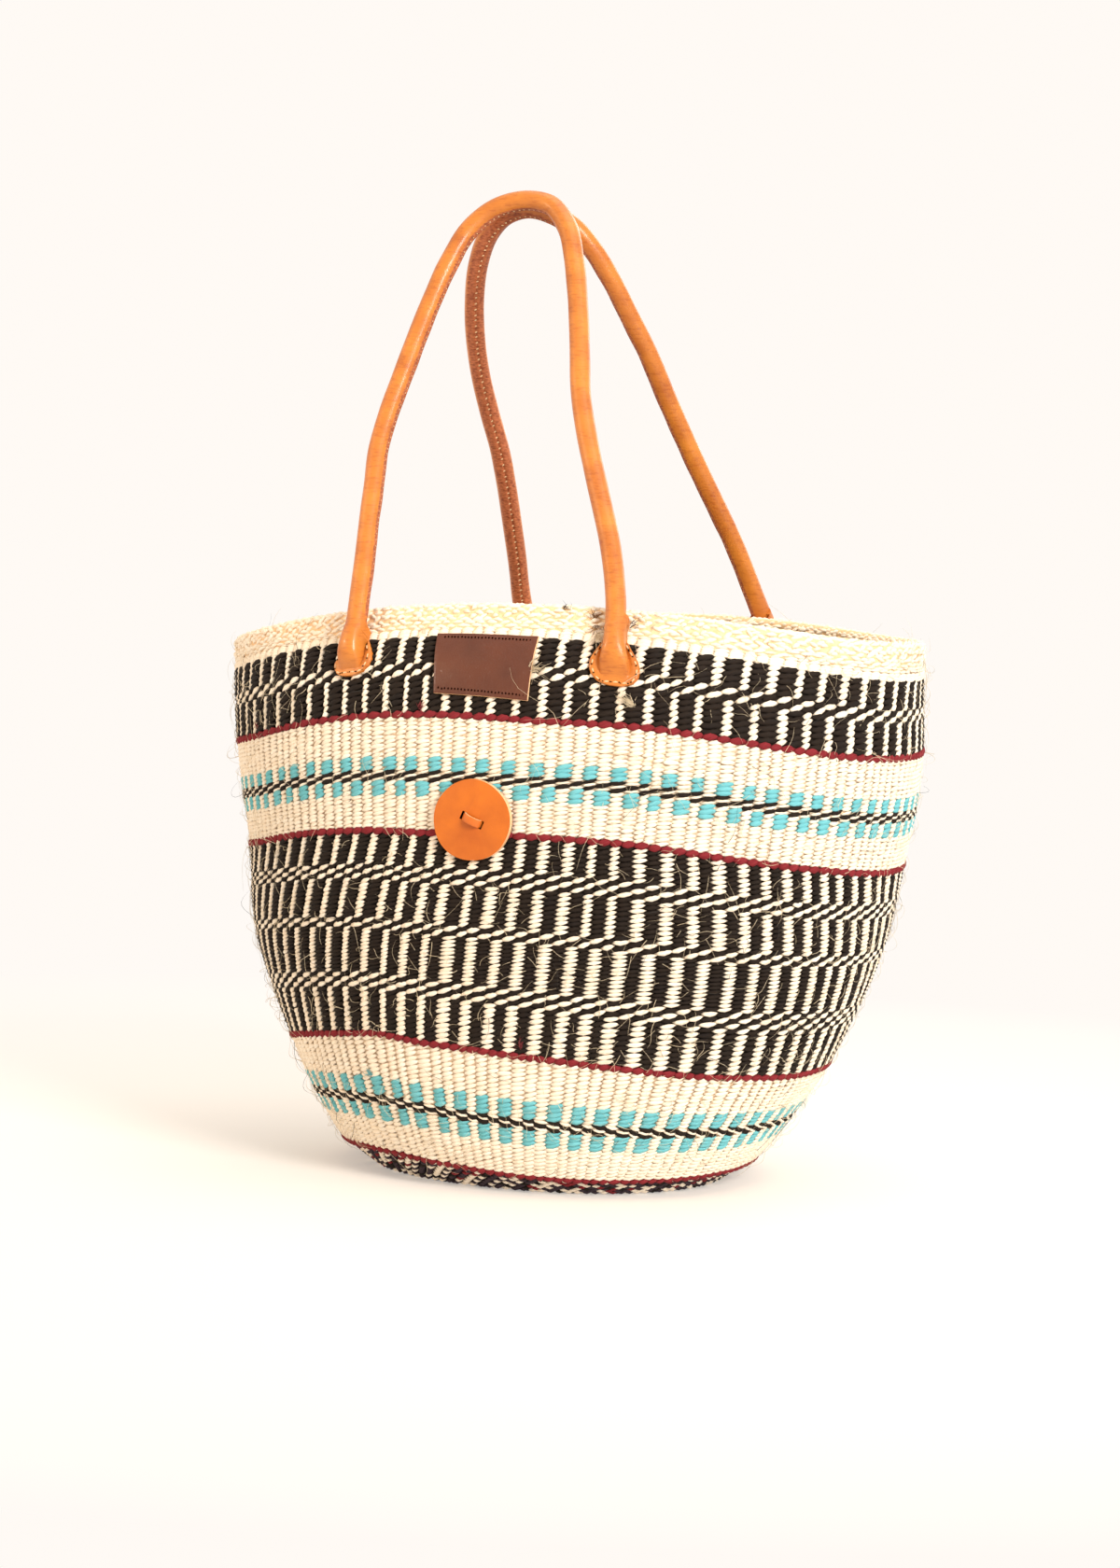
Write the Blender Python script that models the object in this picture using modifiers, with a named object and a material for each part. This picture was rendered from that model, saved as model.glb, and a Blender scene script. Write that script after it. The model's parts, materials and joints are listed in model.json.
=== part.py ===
"""Kiondo basket: a hand-twined sisal body with two round leather handles.

The body is a wall of yarn bands over a flat woven base. It stands on z = 0
with its centre on the z axis, its front towards -y. Lengths are in metres.
"""

import math

import bmesh
import bpy
import numpy as np
from mathutils import Matrix

# Sizes of the woven body
BASKET_WIDTH = 0.386
BASKET_DEPTH = 0.286
BASKET_HEIGHT = 0.305
WALL_THICKNESS = 0.005
BASE_THICKNESS = 0.005
HEM_HEIGHT = 0.0137
HEM_THICKNESS = 0.0075
ROW_HEIGHT = 0.0026
ROW_PROUD = 0.0005
RIM_TILT = 0.009
RIM_LEAN = 0.006
RIM_NOD = 0.004
# The rim swells upwards close to its two ends, more so at the back.
RIM_SWELL = 0.008
SWELL_POWER = 8

# Clearances that neighbouring pieces keep
SEAM_GAP = 0.0003
LEATHER_GAP = 0.0005

# Sizes of the handles
TUBE_RADIUS = 0.0055
LEATHER_THICKNESS = 0.0016
CORE_GAP = 0.0006
SLIT_WIDTH = 0.0012
TUBE_LIFT = 0.0077
FRONT_LEG_SPACING = 0.142
BACK_LEG_SPACING = 0.1396
FRONT_HANDLE_SHIFT = 0.0070
BACK_HANDLE_SHIFT = 0.012
HANDLE_RISE = 0.2264
CREASE_GAP = 0.0009
GRIP_GAP = 0.0006

# Sizes of the leather tabs
LEFT_TAB_WIDTH = 0.0245
LEFT_TAB_HEIGHT = 0.0240
RIGHT_TAB_WIDTH = 0.0265
RIGHT_TAB_HEIGHT = 0.0274
TAB_THICKNESS = 0.0024

# Sizes of the label
LABEL_WIDTH = 0.054
LABEL_HEIGHT = 0.0325
LABEL_THICKNESS = 0.0016

# Sizes of the button and its thong
BUTTON_RADIUS = 0.0213
BUTTON_THICKNESS = 0.003
BUTTON_BEVEL = 0.0005
BUTTON_SHIFT = 0.0022
SLOT_SPACING = 0.0092
SLOT_WIDTH = 0.0040
SLOT_THICKNESS = 0.0024
THONG_WIDTH = 0.0032
THONG_THICKNESS = 0.0015
THONG_ARCH = 0.0022
THONG_BEND_RADIUS = 0.0022
PULL_SLACK = 0.0045
KNOT_RADIUS = 0.0075
KNOT_LENGTH = 0.007
CUT_OVERRUN = 0.004

# Angles: how far the slots slope, and how far the tabs splay
SLOT_TILT = math.radians(-24)
TAB_SPLAY = math.radians(9)

# Stations up the wall, each a share: place along the wall, half width, half
# depth, height at the front, height at the sides, and parts of the rim's tilt
# (right side up), of its nod (front up) and of its lean (to the left)
STATION_SHARES = (
    (0.000, 0.490, 0.615, 0.000, 0.000, 0.00, 0.00, 1.25),
    (0.075, 0.578, 0.727, 0.043, 0.043, 0.00, 0.00, 1.19),
    (0.170, 0.664, 0.846, 0.138, 0.118, 0.00, 0.00, 1.03),
    (0.290, 0.748, 0.937, 0.262, 0.207, 0.00, 0.00, 0.75),
    (0.470, 0.878, 0.993, 0.443, 0.393, 0.20, 0.00, 0.53),
    (0.650, 0.925, 1.000, 0.623, 0.557, 0.39, 0.00, 0.11),
    (0.840, 0.975, 0.972, 0.823, 0.745, 0.79, 0.00, 0.32),
    (0.920, 0.985, 0.906, 0.923, 0.839, 0.90, 0.12, 0.70),
    (1.000, 1.000, 0.770, 0.994, 0.923, 1.00, 1.00, 1.00),
)

# Places along the wall where the dark red rows lie, and other places on it
BASE_ROW_SHARE = 0.075
LOWER_ROW_SHARE = 0.290
MIDDLE_ROW_SHARE = 0.650
UPPER_ROW_SHARE = 0.840
BUTTON_SHARE = 0.677
OVAL_POWER = 2.1

# Routes of the handles: share of half the leg spacing, share of the rise
FRONT_ROUTE_SHARES = (
    (-1.000, 0.000), (-1.025, 0.065), (-1.057, 0.150), (-1.097, 0.235), (-1.130, 0.322),
    (-1.166, 0.409), (-1.154, 0.497), (-1.117, 0.586), (-1.079, 0.675), (-1.033, 0.765),
    (-0.969, 0.855), (-0.871, 0.933), (-0.694, 0.984), (-0.486, 1.000), (-0.264, 0.987),
    (-0.098, 0.936), (0.021, 0.858), (0.107, 0.780), (0.182, 0.702), (0.258, 0.614),
    (0.313, 0.548), (0.432, 0.450), (0.556, 0.364), (0.687, 0.278), (0.812, 0.194), (0.912, 0.110),
    (0.970, 0.048), (1.000, 0.000),
)
BACK_ROUTE_SHARES = (
    (-1.000, 0.000), (-1.007, 0.061), (-0.993, 0.155), (-0.988, 0.249), (-0.986, 0.341),
    (-0.996, 0.432), (-1.034, 0.523), (-1.060, 0.613), (-1.054, 0.702), (-1.013, 0.791),
    (-0.930, 0.878), (-0.800, 0.946), (-0.640, 0.985), (-0.457, 0.998), (-0.282, 0.984),
    (-0.123, 0.954), (0.022, 0.895), (0.134, 0.825), (0.243, 0.737), (0.352, 0.648),
    (0.434, 0.560), (0.525, 0.470), (0.621, 0.380), (0.724, 0.290), (0.828, 0.198), (0.910, 0.106),
    (0.947, 0.060), (1.000, 0.000),
)

# Outline of a tab from its foot to its neck: share of the height, half width
# as a share of half the tab's width, and share of the tube's swelling there
TAB_ROW_SHARES = (
    (0.00, 0.42, 0.00), (0.07, 0.72, 0.00), (0.18, 0.93, 0.04), (0.32, 1.00, 0.20),
    (0.46, 0.95, 0.45), (0.60, 0.80, 0.70), (0.74, 0.62, 0.88), (0.88, 0.48, 0.97),
    (1.00, 0.42, 1.00),
)

# Section of the turned-over hem: share of its height, share of half its
# thickness to the outside
HEM_SECTION_SHARES = (
    (0.00, 1.00), (0.40, 1.00), (0.76, 1.00), (0.93, 0.74), (1.00, 0.28),
    (1.00, -0.28), (0.93, -0.74), (0.76, -1.00), (0.40, -1.00), (0.00, -1.00),
)

# Knot inside the wall: share of its length, share of its radius
KNOT_PROFILE_SHARES = ((1.0, 0.86), (0.84, 0.97), (0.5, 1.0), (0.18, 0.80), (0.0, 0.42))

# Counts of facets
ROUND_STEPS = 52
BASE_STEPS = 3
LOWER_STEPS = 3
MAIN_STEPS = 5
UPPER_STEPS = 3
TOP_STEPS = 3
HANDLE_STEPS = 42
SLEEVE_SIDES = 10
CORE_SIDES = 8
TAB_COLUMNS = 10
LABEL_COLUMNS = 8
LABEL_ROWS = 3
BUTTON_SIDES = 40
KNOT_SIDES = 16
BEND_STEPS = 4
FINE_RUN = 200

FRONT = -math.pi / 2
PROBE = 0.0005
WELD_REACH = 0.00001

SISAL = ((0.90, 0.80, 0.62), 0.85)
BLACK_YARN = ((0.030, 0.026, 0.024), 0.9)
RED_YARN = ((0.20, 0.016, 0.040), 0.9)
BASE_YARN = ((0.10, 0.06, 0.10), 0.9)
TAN_LEATHER = ((0.62, 0.24, 0.065), 0.38)
ROPE_FIBRE = ((0.70, 0.58, 0.40), 0.9)
BROWN_LEATHER = ((0.17, 0.055, 0.030), 0.5)
BUTTON_LEATHER = ((0.80, 0.27, 0.045), 0.45)


def clear_scene():
    for thing in list(bpy.data.objects):
        bpy.data.objects.remove(thing, do_unlink=True)


def new_collection(name):
    group = bpy.data.collections.new(name)
    bpy.context.scene.collection.children.link(group)
    return group


def new_material(name, finish):
    colour, roughness = finish
    made = bpy.data.materials.new(name)
    made.use_nodes = True
    shader = made.node_tree.nodes["Principled BSDF"]
    shader.inputs["Base Color"].default_value = (*colour, 1.0)
    shader.inputs["Roughness"].default_value = roughness
    shader.inputs["Metallic"].default_value = 0.0
    return made


def smooth_value(column, along):
    """A smooth curve through one column of the stations."""
    table = np.array(STATION_SHARES)
    places = table[:, 0]
    values = table[:, column]
    slopes = np.gradient(values, places)
    low = np.clip(np.searchsorted(places, along, side="right") - 1, 0, len(places) - 2)
    span = places[low + 1] - places[low]
    t = (along - places[low]) / span
    rise = t * t * (3 - 2 * t)
    start = t * (1 - t) ** 2
    end = t * t * (t - 1)
    curve = values[low] + (values[low + 1] - values[low]) * rise
    return curve + span * (slopes[low] * start + slopes[low + 1] * end)


def wall_point(along, turn):
    """Outer surface of the wall, at a place up it and an angle round it."""
    along, turn = np.broadcast_arrays(np.asarray(along, float), np.asarray(turn, float))
    corner = np.abs(np.cos(turn)) ** OVAL_POWER + np.abs(np.sin(turn)) ** OVAL_POWER
    reach = corner ** (-1 / OVAL_POWER)
    across = np.cos(turn) * reach
    deep = np.sin(turn) * reach
    front = smooth_value(3, along)
    side = smooth_value(4, along)
    tilt = smooth_value(5, along)
    lean = smooth_value(7, along)
    x = BASKET_WIDTH / 2 * smooth_value(1, along) * across - RIM_LEAN * lean
    y = BASKET_DEPTH / 2 * smooth_value(2, along) * deep
    z = BASKET_HEIGHT * (front + (side - front) * across ** 2)
    rim_only = smooth_value(6, along)
    z = z + RIM_TILT * tilt * across - RIM_NOD * rim_only * deep
    z = z + RIM_SWELL * rim_only * np.abs(across) ** SWELL_POWER * (1 + deep) / 2
    return np.stack([x, y, z], axis=-1)


def wall_slopes(along, turn):
    up = wall_point(along + PROBE, turn) - wall_point(along - PROBE, turn)
    round_it = wall_point(along, turn + PROBE) - wall_point(along, turn - PROBE)
    return up / (2 * PROBE), round_it / (2 * PROBE)


def wall_normal(along, turn):
    up, round_it = wall_slopes(np.asarray(along, float), np.asarray(turn, float))
    out = np.cross(round_it, up)
    return out / np.linalg.norm(out, axis=-1, keepdims=True)


def off_wall(along, turn, lift):
    """A point that stands off the outer surface by lift, inwards if negative."""
    lift = np.asarray(lift, float)[..., None]
    return wall_point(along, turn) + wall_normal(along, turn) * lift


def wall_run():
    """Length of the front of the wall from the base to the rim."""
    places = np.linspace(0, 1, FINE_RUN)
    points = wall_point(places, FRONT)
    return float(np.linalg.norm(np.diff(points, axis=0), axis=1).sum())


def hem_foot():
    """Place along the wall where the hem begins."""
    return 1 - HEM_HEIGHT / wall_run()


def neck_place():
    """Place along the wall where a tab ends and its handle begins."""
    return hem_foot() - SEAM_GAP / wall_run()


def turn_at(along, across, facing):
    """Angle at which the wall is a sideways distance from its middle."""
    middle = -RIM_LEAN * float(smooth_value(7, along))
    share = (across - middle) / (BASKET_WIDTH / 2 * float(smooth_value(1, along)))
    deep = (1 - abs(share) ** OVAL_POWER) ** (1 / OVAL_POWER)
    return math.atan2(facing * deep, share)


def on_patch(along, turn, sideways, upwards, lift):
    """Points on the wall near one place, by distances along its surface."""
    up, round_it = wall_slopes(along, turn)
    places = along + upwards / np.linalg.norm(up)
    angles = turn + sideways / np.linalg.norm(round_it)
    return off_wall(places, angles, lift)


def mesh_object(name, group, points, faces, finish):
    mesh = bpy.data.meshes.new(name)
    mesh.from_pydata([tuple(p) for p in points], [], faces)
    work = bmesh.new()
    work.from_mesh(mesh)
    bmesh.ops.recalc_face_normals(work, faces=work.faces)
    work.to_mesh(mesh)
    work.free()
    made = bpy.data.objects.new(name, mesh)
    group.objects.link(made)
    mesh.materials.append(new_material(name, finish))
    mesh.shade_smooth()
    mesh.set_sharp_from_angle(angle=math.radians(40))
    return made


def ring_faces(rings, count, closed):
    """Quads between rings of points, round and round."""
    faces = []
    for ring in range(rings if closed else rings - 1):
        following = (ring + 1) % rings
        for step in range(count):
            across = (step + 1) % count
            faces.append((ring * count + step, ring * count + across,
                          following * count + across, following * count + step))
    return faces


def lofted_band(name, group, places, lifts, finish):
    """A closed ring of yarn whose section runs through places and lifts."""
    turns = np.linspace(0, 2 * math.pi, ROUND_STEPS, endpoint=False)
    rings = [off_wall(place, turns, lift + 0 * turns) for place, lift in zip(places, lifts)]
    faces = ring_faces(len(rings), ROUND_STEPS, True)
    return mesh_object(name, group, np.concatenate(rings), faces, finish)


def yarn_band(name, group, start, stop, steps, proud, finish):
    """A band of the wall between two places, kept apart by the seam gap."""
    half_gap = SEAM_GAP / 2 / wall_run()
    up = list(np.linspace(start + half_gap, stop - half_gap, steps + 1))
    lifts = [proud] * len(up) + [-WALL_THICKNESS] * len(up)
    return lofted_band(name, group, up + up[::-1], lifts, finish)


def build_base(group):
    """The flat base, its edge turned up to meet the wall."""
    half_row = (ROW_HEIGHT + SEAM_GAP) / 2 / wall_run()
    up = np.linspace(0, BASE_ROW_SHARE - half_row, BASE_STEPS + 1)
    turns = np.linspace(0, 2 * math.pi, ROUND_STEPS, endpoint=False)
    rings = [wall_point(place, turns) for place in up]
    rings += [off_wall(place, turns, 0 * turns - WALL_THICKNESS) for place in up[:0:-1]]
    floor = off_wall(up[0], turns, 0 * turns - WALL_THICKNESS)
    floor[:, 2] = BASE_THICKNESS
    rings.append(floor)
    points = np.concatenate(rings)
    faces = ring_faces(len(rings), ROUND_STEPS, False)
    faces.append(tuple(range(ROUND_STEPS)))
    faces.append(tuple(range(len(points) - ROUND_STEPS, len(points))))
    return mesh_object("woven_base", group, points, faces, BASE_YARN)


def build_hem(group):
    """The turned-over edge that finishes the top of the wall."""
    foot = hem_foot() + SEAM_GAP / wall_run()
    places = [foot + share * (1 - foot) for share, _ in HEM_SECTION_SHARES]
    middle = -WALL_THICKNESS / 2
    lifts = [middle + share * HEM_THICKNESS / 2 for _, share in HEM_SECTION_SHARES]
    return lofted_band("rim_hem", group, places, lifts, SISAL)


def build_wall(group):
    half_row = ROW_HEIGHT / 2 / wall_run()
    bands = (
        ("lower_cream_band", BASE_ROW_SHARE, LOWER_ROW_SHARE, LOWER_STEPS, SISAL),
        ("main_striped_band", LOWER_ROW_SHARE, MIDDLE_ROW_SHARE, MAIN_STEPS, BLACK_YARN),
        ("upper_cream_band", MIDDLE_ROW_SHARE, UPPER_ROW_SHARE, UPPER_STEPS, SISAL),
    )
    for name, start, stop, steps, finish in bands:
        yarn_band(name, group, start + half_row, stop - half_row, steps, 0.0, finish)
    yarn_band("top_striped_band", group, UPPER_ROW_SHARE + half_row, hem_foot(),
              TOP_STEPS, 0.0, BLACK_YARN)
    rows = (
        ("base_red_row", BASE_ROW_SHARE), ("lower_red_row", LOWER_ROW_SHARE),
        ("middle_red_row", MIDDLE_ROW_SHARE), ("upper_red_row", UPPER_ROW_SHARE),
    )
    for name, place in rows:
        yarn_band(name, group, place - half_row, place + half_row, 1, ROW_PROUD, RED_YARN)


def slab(name, group, front, back, finish):
    """A closed solid between a front and a back grid of points."""
    rows, columns = front.shape[:2]
    points = np.concatenate([front.reshape(-1, 3), back.reshape(-1, 3)])
    half = rows * columns
    faces = []
    for row in range(rows - 1):
        for column in range(columns - 1):
            corner = row * columns + column
            quad = (corner, corner + 1, corner + columns + 1, corner + columns)
            faces.append(quad)
            faces.append(tuple(half + index for index in reversed(quad)))
    edge = list(range(columns))
    edge += [row * columns + columns - 1 for row in range(1, rows)]
    edge += [(rows - 1) * columns + column for column in range(columns - 2, -1, -1)]
    edge += [row * columns for row in range(rows - 2, 0, -1)]
    for first, second in zip(edge, edge[1:] + edge[:1]):
        faces.append((second, first, half + first, half + second))
    return mesh_object(name, group, points, faces, finish)


def neck_of(side, facing):
    """Place, angle, point and outward direction where a leg leaves its tab."""
    spacing = FRONT_LEG_SPACING if facing < 0 else BACK_LEG_SPACING
    shift = -FRONT_HANDLE_SHIFT if facing < 0 else -BACK_HANDLE_SHIFT
    place = neck_place()
    turn = turn_at(place, side * spacing / 2 + shift, facing)
    return turn, off_wall(place, turn, TUBE_LIFT), wall_normal(place, turn)


def build_tab(name, group, side, facing):
    """A spade of leather whose middle swells into the handle's tube."""
    turn, _, _ = neck_of(side, facing)
    place = neck_place()
    width = LEFT_TAB_WIDTH if side < 0 else RIGHT_TAB_WIDTH
    height = LEFT_TAB_HEIGHT if side < 0 else RIGHT_TAB_HEIGHT
    table = np.array(TAB_ROW_SHARES)
    spread = np.linspace(-1, 1, TAB_COLUMNS + 1)
    heights = (table[:, 0] - 1) * height - CREASE_GAP
    halves = table[:, 1] * width / 2
    halves[-1] = TUBE_RADIUS
    sideways = halves[:, None] * spread[None, :]
    upwards = heights[:, None] + 0 * sideways
    crown = np.sqrt(np.clip(1 - (sideways / TUBE_RADIUS) ** 2, 0, 1))
    full = TUBE_LIFT + TUBE_RADIUS * crown - CREASE_GAP
    plate = LEATHER_GAP + TAB_THICKNESS
    swell = table[:, 2][:, None] * np.clip(full - plate, 0, None) * (crown > 0)
    outwards = side * facing * math.tan(TAB_SPLAY) * upwards
    front = on_patch(place, turn, sideways + outwards, upwards, plate + swell)
    back = on_patch(place, turn, sideways + outwards, upwards, LEATHER_GAP + 0 * sideways)
    return slab(name, group, front, back, TAN_LEATHER)


def handle_path(facing):
    """Centre line of a handle, from its left neck to its right neck."""
    _, left, _ = neck_of(-1, facing)
    _, right, _ = neck_of(1, facing)
    table = np.array(FRONT_ROUTE_SHARES if facing < 0 else BACK_ROUTE_SHARES)
    across, up = table[:, 0], table[:, 1]
    blend = np.clip((across + 1) / 2, 0, 1)
    foot = left[None, :] * (1 - blend[:, None]) + right[None, :] * blend[:, None]
    points = foot.copy()
    centre = (left[0] + right[0]) / 2
    points[:, 0] = centre + across * (right[0] - left[0]) / 2
    grip = facing * (TUBE_RADIUS + GRIP_GAP / 2)
    points[:, 1] = foot[:, 1] + (grip - foot[:, 1]) * up
    points[:, 2] = foot[:, 2] + HANDLE_RISE * up
    return resample(points, HANDLE_STEPS)


def resample(points, steps):
    """Even steps along a smooth curve through the points."""
    lengths = np.concatenate([[0], np.linalg.norm(np.diff(points, axis=0), axis=1).cumsum()])
    slopes = np.gradient(points, lengths, axis=0)
    fine = np.linspace(0, lengths[-1], steps + 1)
    low = np.clip(np.searchsorted(lengths, fine, side="right") - 1, 0, len(points) - 2)
    span = (lengths[low + 1] - lengths[low])[:, None]
    t = (fine - lengths[low])[:, None] / span
    rise = t * t * (3 - 2 * t)
    curve = points[low] + (points[low + 1] - points[low]) * rise
    return curve + span * (slopes[low] * t * (1 - t) ** 2 + slopes[low + 1] * t * t * (t - 1))


def sweep(name, group, path, ends, section, finish):
    """A tube of one section along a path; the section's +x side faces inwards."""
    heading = np.gradient(path, axis=0)
    heading[0], heading[-1] = ends
    heading /= np.linalg.norm(heading, axis=1, keepdims=True)
    flat = np.cross(path[-1] - path[0], path[len(path) // 2] - path[0])
    flat /= np.linalg.norm(flat)
    inward = np.cross(flat, heading)
    inward /= np.linalg.norm(inward, axis=1, keepdims=True)
    if np.dot(inward[0], path[-1] - path[0]) < 0:
        inward = -inward
    aside = np.cross(heading, inward)
    section = np.array(section)
    rings = [p + section[:, :1] * a + section[:, 1:] * b for p, a, b in zip(path, inward, aside)]
    count = len(section)
    faces = ring_faces(len(rings), count, False)
    faces.append(tuple(range(count)))
    faces.append(tuple(range(count * (len(rings) - 1), count * len(rings))))
    return mesh_object(name, group, np.concatenate(rings), faces, finish)


def arc(radius, start, stop, sides):
    angles = np.linspace(start, stop, sides + 1)
    return [(radius * math.cos(a), radius * math.sin(a)) for a in angles]


def build_handle(label, group, facing):
    """A leather sleeve, open along its inner side, round a rope core."""
    path = handle_path(facing)
    left_up, _ = wall_slopes(neck_place(), neck_of(-1, facing)[0])
    right_up, _ = wall_slopes(neck_place(), neck_of(1, facing)[0])
    ends = (left_up, -right_up)
    bore = TUBE_RADIUS - LEATHER_THICKNESS
    outer_slit = math.asin(SLIT_WIDTH / 2 / TUBE_RADIUS)
    inner_slit = math.asin(SLIT_WIDTH / 2 / bore)
    full = 2 * math.pi
    skin = arc(TUBE_RADIUS, outer_slit, full - outer_slit, SLEEVE_SIDES)
    lining = arc(bore, full - inner_slit, inner_slit, SLEEVE_SIDES)
    sleeve = sweep(label + "_handle_sleeve", group, path, ends, skin + lining, TAN_LEATHER)
    core_radius = bore * math.cos(math.pi / SLEEVE_SIDES) - CORE_GAP
    circle = arc(core_radius, 0, full, CORE_SIDES)[:-1]
    core = sweep(label + "_handle_core", group, path, ends, circle, ROPE_FIBRE)
    hinge = bpy.data.objects.new(label + "_handle_hinge", None)
    group.objects.link(hinge)
    pivots = [neck_of(side, facing) for side in (-1, 1)]
    ends = [point + out * TUBE_RADIUS for _, point, out in pivots]
    hinge.location = (ends[0] + ends[1]) / 2
    bpy.context.view_layer.update()
    for piece in (sleeve, core):
        piece.parent = hinge
        piece.matrix_parent_inverse = hinge.matrix_world.inverted()


def build_label(group):
    """A plain rectangle of brown leather, sewn flat under the hem."""
    across = np.linspace(-1, 1, LABEL_COLUMNS + 1) * LABEL_WIDTH / 2
    up = np.linspace(-1, 1, LABEL_ROWS + 1) * LABEL_HEIGHT / 2
    sideways, upwards = np.meshgrid(across, up)
    place = neck_place() - LABEL_HEIGHT / 2 / wall_run()
    front_lift = LEATHER_GAP + LABEL_THICKNESS + 0 * sideways
    turn = turn_at(place, 0.0, -1)
    front = on_patch(place, turn, sideways, upwards, front_lift)
    back = on_patch(place, turn, sideways, upwards, LEATHER_GAP + 0 * sideways)
    slab("label_patch", group, front, back, BROWN_LEATHER)


def button_frame():
    """Origin on the wall, the slots' direction, the one across it, and outward."""
    turn = turn_at(BUTTON_SHARE, BUTTON_SHIFT, -1)
    origin = wall_point(BUTTON_SHARE, turn)
    out = wall_normal(BUTTON_SHARE, turn)
    level = np.array([1.0, 0.0, 0.0])
    level -= out * np.dot(level, out)
    level /= np.linalg.norm(level)
    side = level * math.cos(SLOT_TILT) + np.cross(out, level) * math.sin(SLOT_TILT)
    return origin, side, np.cross(out, side), out


def button_back():
    """Lift of the disc's back, which rests on the proud red row below it."""
    return ROW_PROUD + LEATHER_GAP


def place_at_button(piece, lift, side_shift=0.0):
    """Move a piece built about its own z axis to the button's frame."""
    origin, side, up, out = button_frame()
    spot = origin + out * lift + side * side_shift
    turned = np.eye(4)
    turned[:3, 0] = side
    turned[:3, 1] = up
    turned[:3, 2] = out
    turned[:3, 3] = spot
    piece.matrix_world = Matrix(turned.tolist())


def thong_cutters(group):
    """Two slots, one for each end of the thong, through button and wall."""
    made = []
    reach = BUTTON_THICKNESS + WALL_THICKNESS + 2 * CUT_OVERRUN
    for side in (-1, 1):
        bpy.ops.mesh.primitive_cube_add(size=1)
        cutter = bpy.context.object
        cutter.name = "slot_cutter"
        cutter.data.transform(Matrix.Diagonal((SLOT_THICKNESS, SLOT_WIDTH, reach, 1)))
        place_at_button(cutter, (BUTTON_THICKNESS - WALL_THICKNESS) / 2, side * SLOT_SPACING / 2)
        for home in list(cutter.users_collection):
            home.objects.unlink(cutter)
        group.objects.link(cutter)
        cutter.hide_render = True
        cutter.display_type = "WIRE"
        made.append(cutter)
    return made


def cut_slots(piece, cutters):
    for cutter in cutters:
        cut = piece.modifiers.new("slot", "BOOLEAN")
        cut.object = cutter
        cut.operation = "DIFFERENCE"
        cut.solver = "EXACT"


def build_button(group, cutters):
    """A flat disc of leather with two slots."""
    bpy.ops.mesh.primitive_cylinder_add(vertices=BUTTON_SIDES, radius=BUTTON_RADIUS,
                                        depth=BUTTON_THICKNESS)
    disc = bpy.context.object
    disc.name = "button_disc"
    for home in list(disc.users_collection):
        home.objects.unlink(disc)
    group.objects.link(disc)
    disc.data.materials.append(new_material("button_disc", BUTTON_LEATHER))
    edge = disc.modifiers.new("edge", "BEVEL")
    edge.width = BUTTON_BEVEL
    edge.segments = 2
    edge.limit_method = "ANGLE"
    place_at_button(disc, button_back() + BUTTON_THICKNESS / 2)
    cut_slots(disc, cutters)
    disc.data.shade_smooth()
    disc.data.set_sharp_from_angle(angle=math.radians(40))


def thong_outline():
    """Centre line of the thong in the button's sideways and outward plane."""
    top = button_back() + BUTTON_THICKNESS + THONG_ARCH
    foot = knot_top() + SEAM_GAP
    half = SLOT_SPACING / 2
    centre = half - THONG_BEND_RADIUS
    bend = [(centre + THONG_BEND_RADIUS * math.cos(a), top - THONG_BEND_RADIUS
             + THONG_BEND_RADIUS * math.sin(a))
            for a in np.linspace(0, math.pi / 2, BEND_STEPS + 1)]
    right = [(half, foot)] + bend
    left = [(-x, y) for x, y in reversed(right)]
    return right + left


def knot_top():
    return -WALL_THICKNESS - PULL_SLACK


def build_thong(group):
    """A strap that passes through both slots and over the button's face."""
    origin, side, up, out = button_frame()
    line = np.array(thong_outline())
    path = origin + line[:, :1] * side + line[:, 1:] * out
    half_t, half_w = THONG_THICKNESS / 2, THONG_WIDTH / 2
    rings = []
    heading = np.gradient(line, axis=0)
    heading /= np.linalg.norm(heading, axis=1, keepdims=True)
    for spot, (run, rise) in zip(path, heading):
        across = side * rise - out * run
        corners = ((half_t, half_w), (-half_t, half_w), (-half_t, -half_w), (half_t, -half_w))
        rings.append([spot + across * a + up * b for a, b in corners])
    count = 4
    faces = ring_faces(len(rings), count, False)
    faces.append(tuple(range(count)))
    faces.append(tuple(range(count * (len(rings) - 1), count * len(rings))))
    mesh_object("button_thong", group, np.concatenate(rings), faces, BUTTON_LEATHER)


def build_knot(group):
    """The thong's knot inside the basket, a turned solid."""
    mesh = bpy.data.meshes.new("thong_knot")
    work = bmesh.new()
    chain = [work.verts.new((share * KNOT_RADIUS, 0, (along - 1) * KNOT_LENGTH))
             for along, share in KNOT_PROFILE_SHARES]
    top = work.verts.new((0, 0, chain[0].co.z))
    foot = work.verts.new((0, 0, chain[-1].co.z))
    line = [top] + chain + [foot]
    for first, second in zip(line, line[1:]):
        work.edges.new((first, second))
    work.to_mesh(mesh)
    work.free()
    knot = bpy.data.objects.new("thong_knot", mesh)
    group.objects.link(knot)
    mesh.materials.append(new_material("thong_knot", BUTTON_LEATHER))
    turned = knot.modifiers.new("turned", "SCREW")
    turned.axis = "Z"
    turned.steps = KNOT_SIDES
    turned.render_steps = KNOT_SIDES
    turned.use_merge_vertices = True
    turned.merge_threshold = WELD_REACH
    place_at_button(knot, knot_top())


def main():
    clear_scene()
    parts = new_collection("kiondo_basket")
    helpers = new_collection("cutters")
    build_base(parts)
    build_wall(parts)
    build_hem(parts)
    for label, facing in (("front", -1), ("back", 1)):
        build_handle(label, parts, facing)
        for word, side in (("left", -1), ("right", 1)):
            build_tab(label + "_" + word + "_tab", parts, side, facing)
    build_label(parts)
    cutters = thong_cutters(helpers)
    build_button(parts, cutters)
    build_thong(parts)
    build_knot(parts)
    cut_slots(parts.objects["upper_cream_band"], cutters)


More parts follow.
